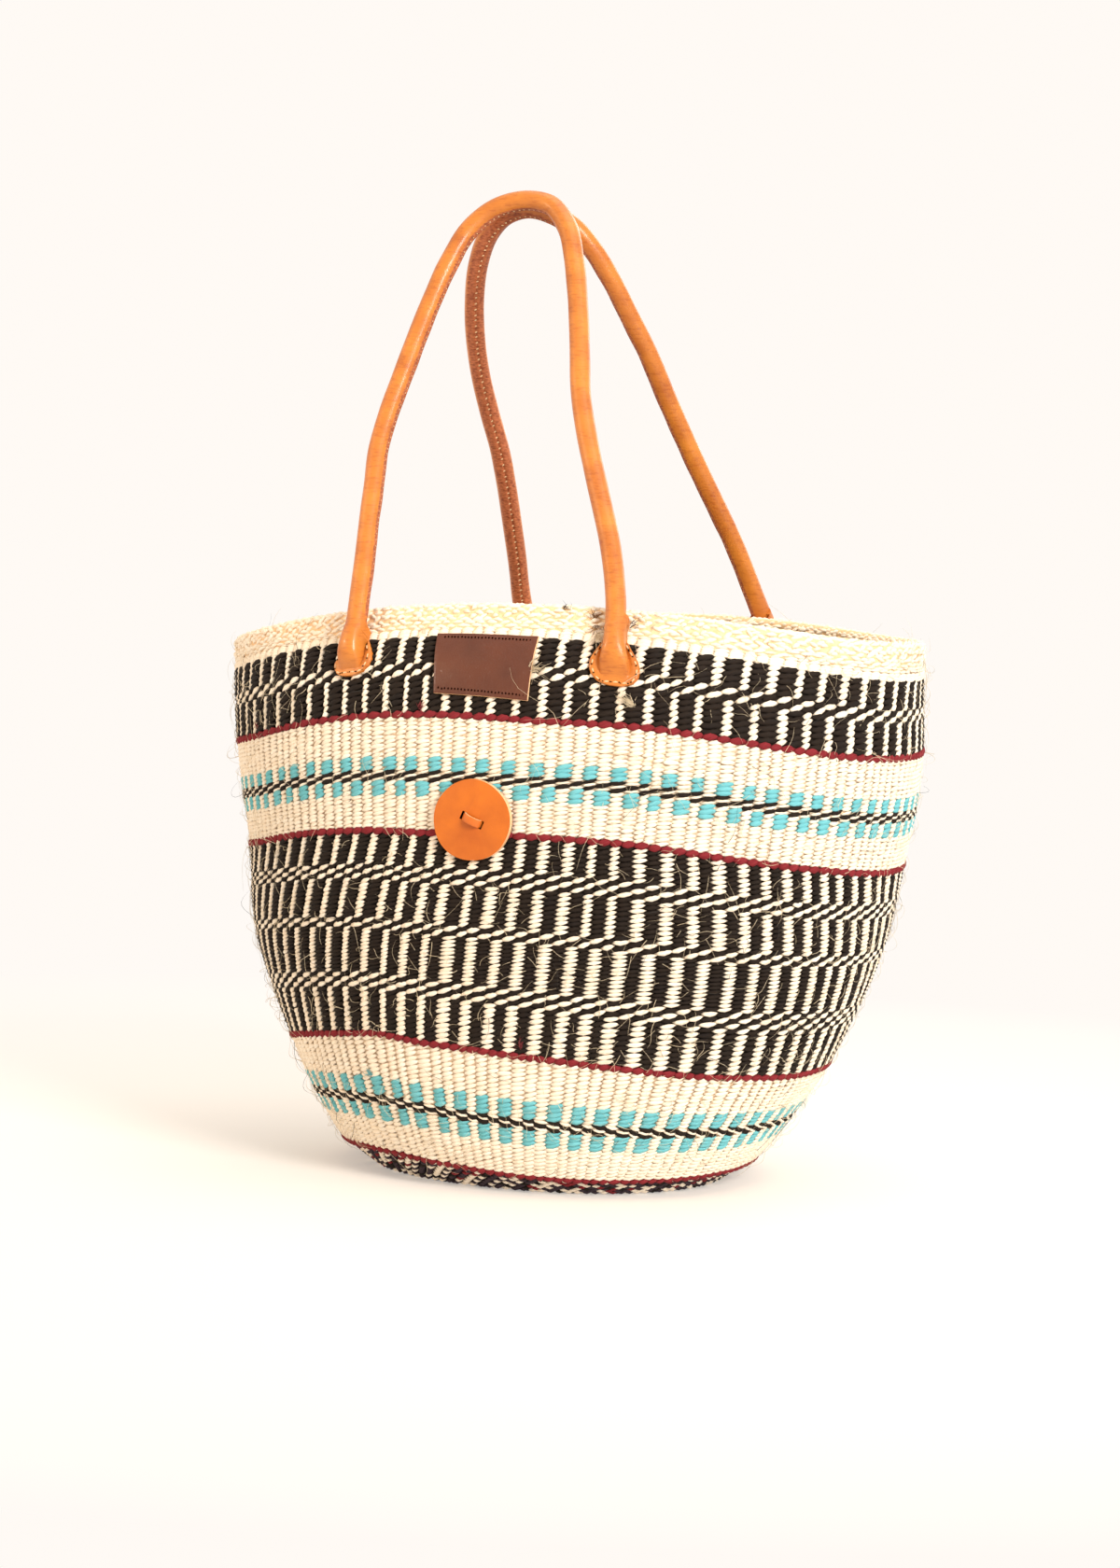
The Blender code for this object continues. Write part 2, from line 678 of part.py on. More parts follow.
main()
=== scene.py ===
import json
import math

import bmesh
import bpy
import numpy as np
from mathutils import Matrix, Vector

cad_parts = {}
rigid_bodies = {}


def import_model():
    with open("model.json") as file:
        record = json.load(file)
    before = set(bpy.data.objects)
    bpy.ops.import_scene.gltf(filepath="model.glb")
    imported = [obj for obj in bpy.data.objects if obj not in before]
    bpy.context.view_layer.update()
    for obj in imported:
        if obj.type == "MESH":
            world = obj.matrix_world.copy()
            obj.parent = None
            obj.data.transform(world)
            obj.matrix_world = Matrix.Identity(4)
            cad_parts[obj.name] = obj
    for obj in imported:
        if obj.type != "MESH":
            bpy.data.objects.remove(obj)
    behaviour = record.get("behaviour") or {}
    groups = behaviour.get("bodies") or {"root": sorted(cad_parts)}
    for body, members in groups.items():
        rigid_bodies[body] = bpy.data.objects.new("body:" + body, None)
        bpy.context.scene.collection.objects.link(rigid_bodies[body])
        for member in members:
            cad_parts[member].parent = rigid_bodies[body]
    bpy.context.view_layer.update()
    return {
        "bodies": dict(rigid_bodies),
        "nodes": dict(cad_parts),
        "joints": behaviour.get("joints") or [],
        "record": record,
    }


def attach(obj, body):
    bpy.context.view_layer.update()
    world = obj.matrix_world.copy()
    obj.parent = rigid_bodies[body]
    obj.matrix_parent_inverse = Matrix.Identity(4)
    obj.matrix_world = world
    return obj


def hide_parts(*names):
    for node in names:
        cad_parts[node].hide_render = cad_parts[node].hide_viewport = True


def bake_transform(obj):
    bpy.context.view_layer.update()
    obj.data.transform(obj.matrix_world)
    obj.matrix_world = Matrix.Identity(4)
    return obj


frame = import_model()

bl_info = {
    "name": "Kiondo Basket",
    "version": (1, 0, 0),
    "blender": (4, 5, 0),
    "location": "View3D > Sidebar > Kiondo",
    "description": "Weaves a kiondo basket stitch by stitch and dresses it with leather",
    "category": "Object",
}

# The body's driving sizes, in metres
BASKET_WIDTH = 0.386
BASKET_DEPTH = 0.286
BASKET_HEIGHT = 0.305
WALL_THICKNESS = 0.005
HEM_HEIGHT = 0.0137
HEM_THICKNESS = 0.0075
RIM_TILT = 0.009
RIM_LEAN = 0.006
RIM_NOD = 0.004
RIM_SWELL = 0.008
SWELL_POWER = 8
OVAL_POWER = 2.1
FRONT = -math.pi / 2
# Small step by which slopes of the wall are taken, and steps of its front line
PROBE = 0.0005
FINE_RUN = 400
SOLID_RUN = 200
ROUND_STEPS = 720

# Stations up the wall, each a share: place along the wall, half width, half
# depth, height at the front, height at the sides, and parts of the rim's tilt
# (right side up), of its nod (front up) and of its lean (to the left)
STATION_SHARES = (
    (0.000, 0.490, 0.615, 0.000, 0.000, 0.00, 0.00, 1.25),
    (0.075, 0.578, 0.727, 0.043, 0.043, 0.00, 0.00, 1.19),
    (0.170, 0.664, 0.846, 0.138, 0.118, 0.00, 0.00, 1.03),
    (0.290, 0.748, 0.937, 0.262, 0.207, 0.00, 0.00, 0.75),
    (0.470, 0.878, 0.993, 0.443, 0.393, 0.20, 0.00, 0.53),
    (0.650, 0.925, 1.000, 0.623, 0.557, 0.39, 0.00, 0.11),
    (0.840, 0.975, 0.972, 0.823, 0.745, 0.79, 0.00, 0.32),
    (0.920, 0.985, 0.906, 0.923, 0.839, 0.90, 0.12, 0.70),
    (1.000, 1.000, 0.770, 0.994, 0.923, 1.00, 1.00, 1.00),
)
BASE_ROW_SHARE = 0.075
LOWER_ROW_SHARE = 0.290
MIDDLE_ROW_SHARE = 0.650
UPPER_ROW_SHARE = 0.840
RED_ROW_SHARES = (BASE_ROW_SHARE, LOWER_ROW_SHARE, MIDDLE_ROW_SHARE, UPPER_ROW_SHARE)
BUTTON_SHARE = 0.677

# The woven bands: rows from the top down, as count, yarn, way of laying,
# phase of the first row and height of a row against the others
MAIN_ROWS = (
    (7, "black", "bars", 0, 1.00), (3, "black", "diagonal", 1, 1.05),
    (9, "black", "bars", 0, 0.98), (2, "black", "diagonal", 1, 1.05),
    (12, "black", "bars", 1, 0.84), (3, "black", "diagonal", 0, 1.05),
    (9, "black", "bars", 1, 1.12),
)
TOP_ROWS = (
    (5, "black", "bars", 0, 1.00), (2, "black", "diagonal", 1, 1.00),
    (6, "black", "bars", 1, 1.00),
)
UPPER_CREAM_ROWS = (
    (9, "cream", "plain", 0, 1.00), (3, "turquoise", "bars", 0, 1.00),
    (3, "black", "thin", 0, 0.80), (3, "turquoise", "bars", 1, 1.10),
    (8, "cream", "plain", 0, 0.95),
)
LOWER_CREAM_ROWS = (
    (9, "cream", "plain", 0, 1.00), (4, "turquoise", "bars", 0, 1.00),
    (3, "black", "counter", 0, 0.85), (4, "turquoise", "bars", 0, 0.95),
    (8, "cream", "plain", 0, 1.00),
)

# How far the dark red rows wander up the wall, in millimetres: angle, then the
# rows from the base up
ROW_WANDERS = (
    (-180, 0.5, -3, 0.5, 2.5), (-160, 1, 1, -1, 0), (-140, 2, 3, -1, -2),
    (-125, 3.5, 3.5, 1, 0), (-110, 2.5, 4.5, 1.5, 1), (-98, 0.5, 0.5, 0.5, 0.5),
    (-80, -3, -1.5, 1.5, -1.5), (-62, -5, -1.5, 3, 0.5), (-45, -5.5, -0.5, 2, -0.5),
    (-25, -5, 2, 2, -0.5), (0, -3, 3.5, 1, 1), (30, 0, 1.5, 0.5, 0.5), (60, 0, 0, 0, 0),
    (140, 0, 0, 0, 0),
)
# How the warps fan out over the front, at the foot and at the top of the main band
WARP_FAN = (0.17, -0.07)
FAN_MIDDLE = math.radians(-76)
# The black stitches widen to the left of this angle, by this share over this angle
LEFT_DARKENS = math.radians(-92)
DARKENING = 0.23
DARKENING_SPREAD = 0.45
# How far single stitches stray, and how far the coloured ones stand out
STRAY = 0.00008
COLOUR_PROUD = 0.00010
THIN_PROUD = 0.00012
BAR_PROUD = 0.0009
# Depth of the warps' layer under both faces of the wall
WARP_DEPTH = 0.0008

# The handles, as in the solid model
TUBE_RADIUS = 0.0055
TUBE_LIFT = 0.0077
FRONT_LEG_SPACING = 0.142
BACK_LEG_SPACING = 0.1396
FRONT_HANDLE_SHIFT = 0.0070
BACK_HANDLE_SHIFT = 0.012
HANDLE_RISE = 0.2264
GRIP_GAP = 0.0006
SEAM_GAP = 0.0003
LEFT_TAB = (0.0245, 0.0240)
RIGHT_TAB = (0.0265, 0.0274)
TAB_SPLAY = math.radians(9)
TAB_THICKNESS = 0.0024
LEATHER_GAP = 0.0005
FRONT_ROUTE_SHARES = (
    (-1.000, 0.000), (-1.025, 0.065), (-1.057, 0.150), (-1.097, 0.235), (-1.130, 0.322),
    (-1.166, 0.409), (-1.154, 0.497), (-1.117, 0.586), (-1.079, 0.675), (-1.033, 0.765),
    (-0.969, 0.855), (-0.871, 0.933), (-0.694, 0.984), (-0.486, 1.000), (-0.264, 0.987),
    (-0.098, 0.936), (0.021, 0.858), (0.107, 0.780), (0.182, 0.702), (0.258, 0.614),
    (0.313, 0.548), (0.432, 0.450), (0.556, 0.364), (0.687, 0.278), (0.812, 0.194), (0.912, 0.110),
    (0.970, 0.048), (1.000, 0.000),
)
BACK_ROUTE_SHARES = (
    (-1.000, 0.000), (-1.007, 0.061), (-0.993, 0.155), (-0.988, 0.249), (-0.986, 0.341),
    (-0.996, 0.432), (-1.034, 0.523), (-1.060, 0.613), (-1.054, 0.702), (-1.013, 0.791),
    (-0.930, 0.878), (-0.800, 0.946), (-0.640, 0.985), (-0.457, 0.998), (-0.282, 0.984),
    (-0.123, 0.954), (0.022, 0.895), (0.134, 0.825), (0.243, 0.737), (0.352, 0.648),
    (0.434, 0.560), (0.525, 0.470), (0.621, 0.380), (0.724, 0.290), (0.828, 0.198), (0.910, 0.106),
    (0.947, 0.060), (1.000, 0.000),
)
TAB_ROW_SHARES = (
    (0.00, 0.42, 0.00), (0.07, 0.72, 0.00), (0.18, 0.93, 0.04), (0.32, 1.00, 0.20),
    (0.46, 0.95, 0.45), (0.60, 0.80, 0.70), (0.74, 0.62, 0.88), (0.88, 0.48, 0.97),
    (1.00, 0.42, 1.00),
)

# The label and the button
LABEL_WIDTH = 0.054
LABEL_HEIGHT = 0.0325
LABEL_THICKNESS = 0.0016
BUTTON_RADIUS = 0.0213
BUTTON_THICKNESS = 0.003
SLOT_SPACING = 0.0092
SLOT_TILT = math.radians(-24)
BUTTON_SHIFT = 0.0022
STRIPE_MARGIN = 0.0173
ROW_PROUD = 0.0005

YARN_SLOTS = ("cream", "black", "turquoise", "red", "navy")
CREAM, BLACK, TURQUOISE, RED, NAVY = range(len(YARN_SLOTS))
# How far stitches climb from left to right, in rows, by the way they are laid
SLANTS = {"diagonal": 0.50, "thin": 0.45, "counter": -0.35}
PLAIN_SLANT = 0.40


def length_property(label, description, default, **more):
    return bpy.props.FloatProperty(
        name=label, description=description, default=default, unit="LENGTH", **more)


def colour_property(label, description, default):
    return bpy.props.FloatVectorProperty(
        name=label, description=description, default=default, size=3, subtype="COLOR")


def count_property(label, description, default):
    return bpy.props.IntProperty(name=label, description=description, default=default, min=1)


class BasketSizes(bpy.types.PropertyGroup):
    """Sizes of the weave and the leatherwork."""
    row_height: length_property("Row height", "Height of one twined row", 0.0025, min=0.001)
    stitch_reach: bpy.props.FloatProperty(
        name="Stitch reach", description="Half a stitch's length, in warps",
        default=0.68, min=0.5, max=0.8, subtype="FACTOR")
    stitch_proud: length_property("Stitch proud", "How far a stitch stands out", 0.0011)
    lower_warps: count_property("Lower warps", "Warps round the lower cream band", 126)
    main_warps: count_property("Main warps", "Warps round the main striped band", 152)
    upper_warps: count_property("Upper warps", "Warps round the bands near the rim", 156)
    hair_count: count_property("Loose fibres", "Loose fibres on the weave", 3400)
    seam_pitch: length_property(
        "Seam pitch", "Distance between stitches of a handle's seam", 0.0034)


class BasketColours(bpy.types.PropertyGroup):
    """Colours of the yarns and leathers."""
    cream: colour_property("Cream sisal", "Undyed sisal yarn", (0.93, 0.845, 0.715))
    black: colour_property("Black yarn", "Dyed black yarn", (0.009, 0.006, 0.005))
    turquoise: colour_property("Turquoise yarn", "Dyed turquoise yarn", (0.20, 0.54, 0.58))
    red: colour_property("Dark red yarn", "Dyed dark red yarn", (0.260, 0.024, 0.030))
    navy: colour_property("Dark blue yarn", "Yarn of the base", (0.060, 0.040, 0.052))
    leather: colour_property(
        "Handle leather", "Smooth side of the handle leather", (0.62, 0.205, 0.028))
    flesh: colour_property(
        "Leather underside", "Rough side of the handle leather", (0.50, 0.150, 0.055))
    label: colour_property("Label leather", "Dark brown leather", (0.112, 0.030, 0.013))
    button: colour_property("Button leather", "Orange leather", (0.60, 0.145, 0.010))
    thread: colour_property("Thread", "Sewing thread", (0.86, 0.62, 0.34))


class StageSettings(bpy.types.PropertyGroup):
    """Camera and light."""
    focal: bpy.props.FloatProperty(
        name="Focal length", description="Focal length in millimetres", default=104.46)
    azimuth: bpy.props.FloatProperty(
        name="Azimuth", description="Turn of the camera round the basket",
        default=math.radians(22.4), subtype="ANGLE")
    distance: length_property("Distance", "Distance of the camera", 2.445)
    height: length_property("Height", "Height of the camera", 0.395)
    pitch: bpy.props.FloatProperty(
        name="Pitch", description="Upward pitch of the camera",
        default=math.radians(-4.37), subtype="ANGLE")
    roll: bpy.props.FloatProperty(
        name="Roll", description="Roll of the camera",
        default=math.radians(2.29), subtype="ANGLE")
    aside: length_property("Aside", "Sideways shift of the camera", -0.0099)


def sizes():
    return bpy.context.scene.basket_sizes


def colours():
    return bpy.context.scene.basket_colours


# Curves
def smooth_curve(places, values, at):
    """A smooth curve through numbers, or through rows of points, read at some places."""
    slopes = np.gradient(values, places, axis=0)
    low = np.clip(np.searchsorted(places, at, side="right") - 1, 0, len(places) - 2)
    gap = places[low + 1] - places[low]
    t = (at - places[low]) / gap
    if values.ndim > 1:
        gap, t = gap[:, None], t[:, None]
    curve = values[low] + (values[low + 1] - values[low]) * t * t * (3 - 2 * t)
    return curve + gap * (slopes[low] * t * (1 - t) ** 2 + slopes[low + 1] * t * t * (t - 1))


def runs_along(points):
    """Distance of each point of a line from its first one, along the line."""
    steps = np.linalg.norm(np.diff(points, axis=0), axis=1)
    return np.concatenate([[0], steps.cumsum()])


def resample(points, steps):
    """Even steps along a smooth curve through the points."""
    runs = runs_along(points)
    return smooth_curve(runs, points, np.linspace(0, runs[-1], steps + 1))


def read_table(table, at, column=1):
    """A value between the rows of a small table, by the table's first column."""
    rows = np.array(table)
    return np.interp(at, rows[:, 0], rows[:, column])


def unit(vectors):
    return vectors / np.linalg.norm(vectors, axis=-1, keepdims=True)


# The wall's surface
def smooth_value(column, along):
    """A smooth curve through one column of the stations."""
    table = np.array(STATION_SHARES)
    return smooth_curve(table[:, 0], table[:, column], along)


def wall_point(along, turn):
    """Outer surface of the wall, at a place up it and an angle round it."""
    along, turn = np.broadcast_arrays(np.asarray(along, float), np.asarray(turn, float))
    corner = np.abs(np.cos(turn)) ** OVAL_POWER + np.abs(np.sin(turn)) ** OVAL_POWER
    reach = corner ** (-1 / OVAL_POWER)
    across = np.cos(turn) * reach
    deep = np.sin(turn) * reach
    width, depth, front, side, tilt, nod, lean = (
        smooth_value(column, along) for column in range(1, 8))
    x = BASKET_WIDTH / 2 * width * across - RIM_LEAN * lean
    y = BASKET_DEPTH / 2 * depth * deep
    z = BASKET_HEIGHT * (front + (side - front) * across ** 2)
    z = z + RIM_TILT * tilt * across - RIM_NOD * nod * deep
    z = z + RIM_SWELL * nod * np.abs(across) ** SWELL_POWER * (1 + deep) / 2
    return np.stack([x, y, z], axis=-1)


def wall_slopes(along, turn):
    up = wall_point(along + PROBE, turn) - wall_point(along - PROBE, turn)
    round_it = wall_point(along, turn + PROBE) - wall_point(along, turn - PROBE)
    return up / (2 * PROBE), round_it / (2 * PROBE)


def wall_frame(along, turn):
    """Sideways, upward and outward directions on the wall."""
    up, round_it = wall_slopes(np.asarray(along, float), np.asarray(turn, float))
    out = unit(np.cross(round_it, up))
    side = unit(round_it)
    return side, np.cross(out, side), out


def off_wall(along, turn, lift):
    """Points a distance off the wall's outer surface."""
    lift = np.asarray(lift, float)[..., None]
    return wall_point(along, turn) + wall_frame(along, turn)[2] * lift


def on_patch(along, turn, sideways, upwards, lift):
    """Points on the wall near one place, by distances along its surface."""
    up, round_it = wall_slopes(along, turn)
    places = along + upwards / np.linalg.norm(up)
    angles = turn + sideways / np.linalg.norm(round_it)
    return off_wall(places, angles, lift)


def front_runs():
    """Places up the front of the wall, and the length of wall up to each."""
    places = np.linspace(0, 1, FINE_RUN)
    return places, runs_along(wall_point(places, FRONT))


def place_at_run(run):
    places, runs = front_runs()
    return np.interp(run, runs, places)


def run_at_place(place):
    places, runs = front_runs()
    return float(np.interp(place, places, runs))


def hem_foot():
    """Place along the wall where the hem begins."""
    return 1 - HEM_HEIGHT / solid_run()


def solid_run():
    """Length of the front of the wall, as the solid model measures it."""
    return float(runs_along(wall_point(np.linspace(0, 1, SOLID_RUN), FRONT))[-1])


def neck_place():
    """Place along the wall where the handles leave their tabs."""
    return hem_foot() - SEAM_GAP / solid_run()


def stripe_top():
    """Place along the wall where the top band's stripes end."""
    return 1 - STRIPE_MARGIN / solid_run()


def wander(run, turn):
    """The run up the wall of a row that wanders as the real rows do."""
    table = np.array(ROW_WANDERS)
    angle = np.degrees(turn)
    drift, before = 0.0, 0.0
    places = (0.0, *RED_ROW_SHARES, stripe_top())
    marks = [run_at_place(place) for place in places]
    for index in range(len(marks) - 1):
        here = 0.0
        if index < len(RED_ROW_SHARES):
            here = np.interp(angle, table[:, 0], table[:, index + 1], period=360) / 1000
        share = np.clip((run - marks[index]) / (marks[index + 1] - marks[index]), 0, 1)
        drift = drift + (here - before) * share
        before = here
    return run + drift


def turn_at(along, across, facing):
    """Angle at which the wall is a sideways distance from its middle."""
    middle = -RIM_LEAN * float(smooth_value(7, along))
    share = (across - middle) / (BASKET_WIDTH / 2 * float(smooth_value(1, along)))
    deep = (1 - abs(share) ** OVAL_POWER) ** (1 / OVAL_POWER)
    return math.atan2(facing * deep, share)


# Stitches: one small spindle, copied along the rows
class StitchPile:
    """Gathers stitches and turns them into one mesh."""
    STATIONS = ((-0.54, 0.64), (0.0, 1.0), (0.54, 0.64))

    def __init__(self, sides=6):
        self.sides = sides
        self.points = []
        self.yarns = []
        self.tones = []

    def lay(self, centre, frame, measures, yarn, tone):
        """Add a stitch at each centre.

        The frame is its sideways, upward and outward directions. The measures are half its
        length, half its height, its thickness, its slant and how deep its ends dive. All
        but the centres are one value for all stitches or one for each.
        """
        count = len(centre)
        side, up, out = (np.broadcast_to(axis, centre.shape)[:, None, :] for axis in frame)
        half_length, half_height, thick, slant, dive = (
            np.broadcast_to(measure, count)[:, None] for measure in measures)
        x, y, z = self.unit_shape().T[:, None, :]
        along = x * half_length
        rise = y * half_height + x * slant
        lift = z * thick - x ** 2 * dive
        spots = centre[:, None, :] + side * along[..., None]
        spots = spots + up * rise[..., None] + out * lift[..., None]
        self.points.append(spots.reshape(-1, 3))
        self.yarns.append(np.broadcast_to(yarn, count))
        self.tones.append(np.broadcast_to(tone, count))

    def unit_shape(self):
        """Corners of one stitch, from its left tip over three rings to its right tip."""
        angles = (np.arange(self.sides) + 0.5) / self.sides * 2 * math.pi
        rings = [(x, r * math.cos(a), r * math.sin(a)) for x, r in self.STATIONS for a in angles]
        return np.array([(-1.0, 0.0, 0.0)] + rings + [(1.0, 0.0, 0.0)])

    def unit_faces(self):
        """Corner indices and strand coordinates of one stitch's faces."""
        n = self.sides
        corners, starts, uvs = [], [], []
        last = 3 * n + 1
        for step in range(n):
            near, far = step, (step + 1) % n
            v0, v1 = (step + 0.5) / n, (step + 1.5) / n
            starts.append(len(corners))
            corners += [0, 1 + far, 1 + near]
            uvs += [(0, (v0 + v1) / 2), (0.22, v1), (0.22, v0)]
            for ring in range(2):
                low, high = 1 + ring * n, 1 + (ring + 1) * n
                u0, u1 = 0.22 + 0.28 * ring, 0.5 + 0.28 * ring
                starts.append(len(corners))
                corners += [low + near, low + far, high + far, high + near]
                uvs += [(u0, v0), (u0, v1), (u1, v1), (u1, v0)]
            starts.append(len(corners))
            corners += [last, 1 + 2 * n + near, 1 + 2 * n + far]
            uvs += [(1, (v0 + v1) / 2), (0.78, v0), (0.78, v1)]
        return np.array(corners), np.array(starts), np.array(uvs)

    def build(self, name, materials=()):
        """One mesh of all stitches, of the given materials or of all the yarns."""
        points = np.concatenate(self.points)
        yarns = np.concatenate(self.yarns)
        tones = np.concatenate(self.tones)
        count = len(yarns)
        corners, starts, uvs = self.unit_faces()
        each = 3 * self.sides + 2
        loops = (corners[None, :] + np.arange(count)[:, None] * each).ravel()
        begins = (starts[None, :] + np.arange(count)[:, None] * len(corners)).ravel()
        mesh = bpy.data.meshes.new(name)
        mesh.vertices.add(len(points))
        mesh.vertices.foreach_set("co", points.astype(np.float32).ravel())
        mesh.loops.add(len(loops))
        mesh.loops.foreach_set("vertex_index", loops.astype(np.int32))
        mesh.polygons.add(len(begins))
        mesh.polygons.foreach_set("loop_start", begins.astype(np.int32))
        mesh.polygons.foreach_set("material_index", np.repeat(yarns, len(starts)).astype(np.int32))
        mesh.update(calc_edges=True)
        mesh.validate()
        strand = mesh.uv_layers.new(name="strand")
        strand.data.foreach_set("uv", np.tile(uvs, (count, 1)).astype(np.float32).ravel())
        tone = mesh.attributes.new("tone", "FLOAT", "POINT")
        tone.data.foreach_set("value", np.repeat(tones, each).astype(np.float32))
        mesh.shade_smooth()
        for material in materials or [yarn_material(yarn) for yarn in YARN_SLOTS]:
            mesh.materials.append(material)
        return add_object(name, mesh)


def warp_turns(count, seed, fan=0.0):
    """Even angles by distance round the wall, loosened a little at random."""
    fine = np.linspace(FAN_MIDDLE, FAN_MIDDLE + 2 * math.pi, ROUND_STEPS * 4 + 1)
    runs = runs_along(wall_point(0.7, fine))
    rng = np.random.default_rng(seed)
    loose = rng.normal(0, 0.10, count)
    widths = 1 + loose - loose.mean()
    slow = np.interp(np.arange(count), np.linspace(0, count, 13), rng.normal(0, 0.05, 13))
    edges = np.concatenate([[0], (widths + slow).cumsum()])
    edges /= edges[-1]
    edges += fan * np.sin(2 * math.pi * edges) / (2 * math.pi)
    middles = (edges[1:] + edges[:-1]) / 2
    return np.interp(middles * runs[-1], runs, fine), np.diff(edges)


def row_kinds(rows):
    """For each row from the top: its dark yarn, its way, its phase and its height."""
    found = []
    for count, yarn, way, phase, tall in rows:
        for step in range(count):
            turned = step if way in SLANTS else 0
            found.append((yarn, way, (phase + turned) % 2, tall))
    return found


def on_face(place, turns, lift, inside):
    """Centres off the wall's outer or inner face, and their frame as seen from there."""
    side, up, out = wall_frame(place, turns)
    if inside:
        return off_wall(place, turns, -WALL_THICKNESS - lift), (-side, up, -out)
    return off_wall(place, turns, lift), (side, up, out)


def shape_stitches(way, colour, angle, light):
    """Share of the width, height in rows and extra lift of the stitches of one row."""
    pale = colour == CREAM
    wide = np.ones(len(colour))
    tall = np.full(len(colour), 0.64 if way == "plain" else 0.60)
    lift = np.zeros(len(colour))
    if TURQUOISE in colour:
        wide = np.where(pale, 0.90, 1.08)
        tall = np.where(pale, tall, 0.76)
        lift = np.where(pale, 0.0, COLOUR_PROUD)
    elif way == "bars":
        left = np.clip((LEFT_DARKENS - angle) / DARKENING_SPREAD, 0, 1)
        share = light - DARKENING * left
        wide = np.where(pale, share, 2 - share)
        lift = np.where(pale, 0.0, (1 - share) * BAR_PROUD)
    elif way == "diagonal":
        tall = np.where(pale, 0.66, tall)
    elif way in SLANTS:
        tall = np.where(pale, 0.52, 0.84)
        lift = np.where(pale, 0.0, THIN_PROUD)
    return wide, tall, lift


def weave_band(name, node, band, light, inside=False, part=(0.0, 1.0), fans=(0.0, 0.0)):
    """Twine one band of the wall, from its lower to its upper place."""
    start, stop, rows, warps, seed = band
    size = sizes()
    kinds = row_kinds(rows)
    low, high = run_at_place(start), run_at_place(stop)
    heights = np.array([kind[-1] for kind in kinds])
    heights *= (high - low) / heights.sum()
    tops = high - np.concatenate([[0], heights.cumsum()])
    girth = perimeter(0.5 * (start + stop))
    rng = np.random.default_rng(seed + (50 if inside else 0))
    pile = StitchPile(4 if inside else 6)
    first, last = (round(share * len(kinds)) for share in part)
    for index, (yarn, way, phase, _) in enumerate(kinds):
        pitch = heights[index]
        noise = rng.normal(0, 1, (5, warps))
        if not first <= index < last:
            continue
        run = tops[index] - pitch / 2
        turns, widths = warp_turns(warps, seed, np.interp(run, (low, high), fans))
        angle = turns + noise[1] * 0.02 * 2 * math.pi / warps
        angle = (angle + math.pi) % (2 * math.pi) - math.pi
        place = place_at_run(wander(run + noise[0] * 0.045 * pitch, angle))
        dark = (np.arange(warps) + phase) % 2 == 0
        colour = np.where(dark != inside, YARN_SLOTS.index(yarn), CREAM)
        wide, tall, lift = shape_stitches(way, colour, angle, light)
        centre, frame = on_face(place, angle, size.stitch_proud * 0.25 + noise[2] * STRAY, inside)
        slant = SLANTS.get(way, PLAIN_SLANT) * pitch * (1 + 0.25 * noise[1])
        measures = (widths * girth * size.stitch_reach * (1 + 0.05 * noise[3]) * wide,
                    pitch * tall * (1 + 0.04 * noise[4]), size.stitch_proud, slant,
                    size.stitch_proud * 0.95)
        pile.lay(centre + frame[2] * lift[:, None], frame, measures, colour,
                 np.clip(0.5 + 0.22 * noise[2] + 0.1 * noise[0], 0, 1))
    made = pile.build(name)
    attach(made, "basket")
    if node:
        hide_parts(node)


def perimeter(place):
    return float(runs_along(wall_point(place, np.linspace(0, 2 * math.pi, ROUND_STEPS + 1)))[-1])


def weave_row(node, place, warps, seed):
    """One proud dark red row, outside and inside."""
    size = sizes()
    turns, widths = warp_turns(warps, seed)
    rng = np.random.default_rng(seed)
    pile = StitchPile(6)
    measures = (widths * perimeter(place) * 0.70, size.row_height * 0.92,
                size.stitch_proud * 1.2, size.row_height * 0.24, size.stitch_proud)
    for inside in (False, True):
        noise = rng.normal(0, 1, (3, warps))
        at = place_at_run(wander(run_at_place(place) + noise[0] * STRAY, turns))
        lift = size.stitch_proud * (0.25 if inside else 0.75)
        pile.lay(*on_face(at, turns, lift, inside), measures, RED,
                 np.clip(0.5 + 0.2 * noise[1], 0, 1))
    made = pile.build(node + "_weave")
    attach(made, "basket")
    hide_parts(node)


def even_turns(steps):
    return np.linspace(0, 2 * math.pi, steps, endpoint=False)


def ring_faces(rings, steps, closed=False):
    """Faces between rings of points, which close on themselves or get an end face each."""
    faces = []
    for ring in range(rings if closed else rings - 1):
        following = (ring + 1) % rings
        for step in range(steps):
            across = (step + 1) % steps
            faces.append((ring * steps + step, ring * steps + across,
                          following * steps + across, following * steps + step))
    if not closed:
        faces.append(tuple(range(steps)))
        faces.append(tuple(range((rings - 1) * steps, rings * steps)))
    return faces


def plain_mesh(name, points, faces, material):
    """A smooth piece from points and faces."""
    mesh = bpy.data.meshes.new(name)
    mesh.from_pydata([tuple(p) for p in points], [], faces)
    work = bmesh.new()
    work.from_mesh(mesh)
    bmesh.ops.recalc_face_normals(work, faces=work.faces)
    work.to_mesh(mesh)
    work.free()
    mesh.shade_smooth()
    mesh.set_sharp_from_angle(angle=math.radians(50))
    mesh.materials.append(material)
    return add_object(name, mesh)


def add_object(name, data):
    """Put new data into the scene."""
    made = bpy.data.objects.new(name, data)
    bpy.context.scene.collection.objects.link(made)
    return made


def add_primitive(name, add, **measures):
    """A new piece from one of Blender's primitives, alone selected."""
    bpy.ops.object.select_all(action="DESELECT")
    add(**measures)
    piece = bpy.context.object
    piece.name = piece.data.name = name
    return piece


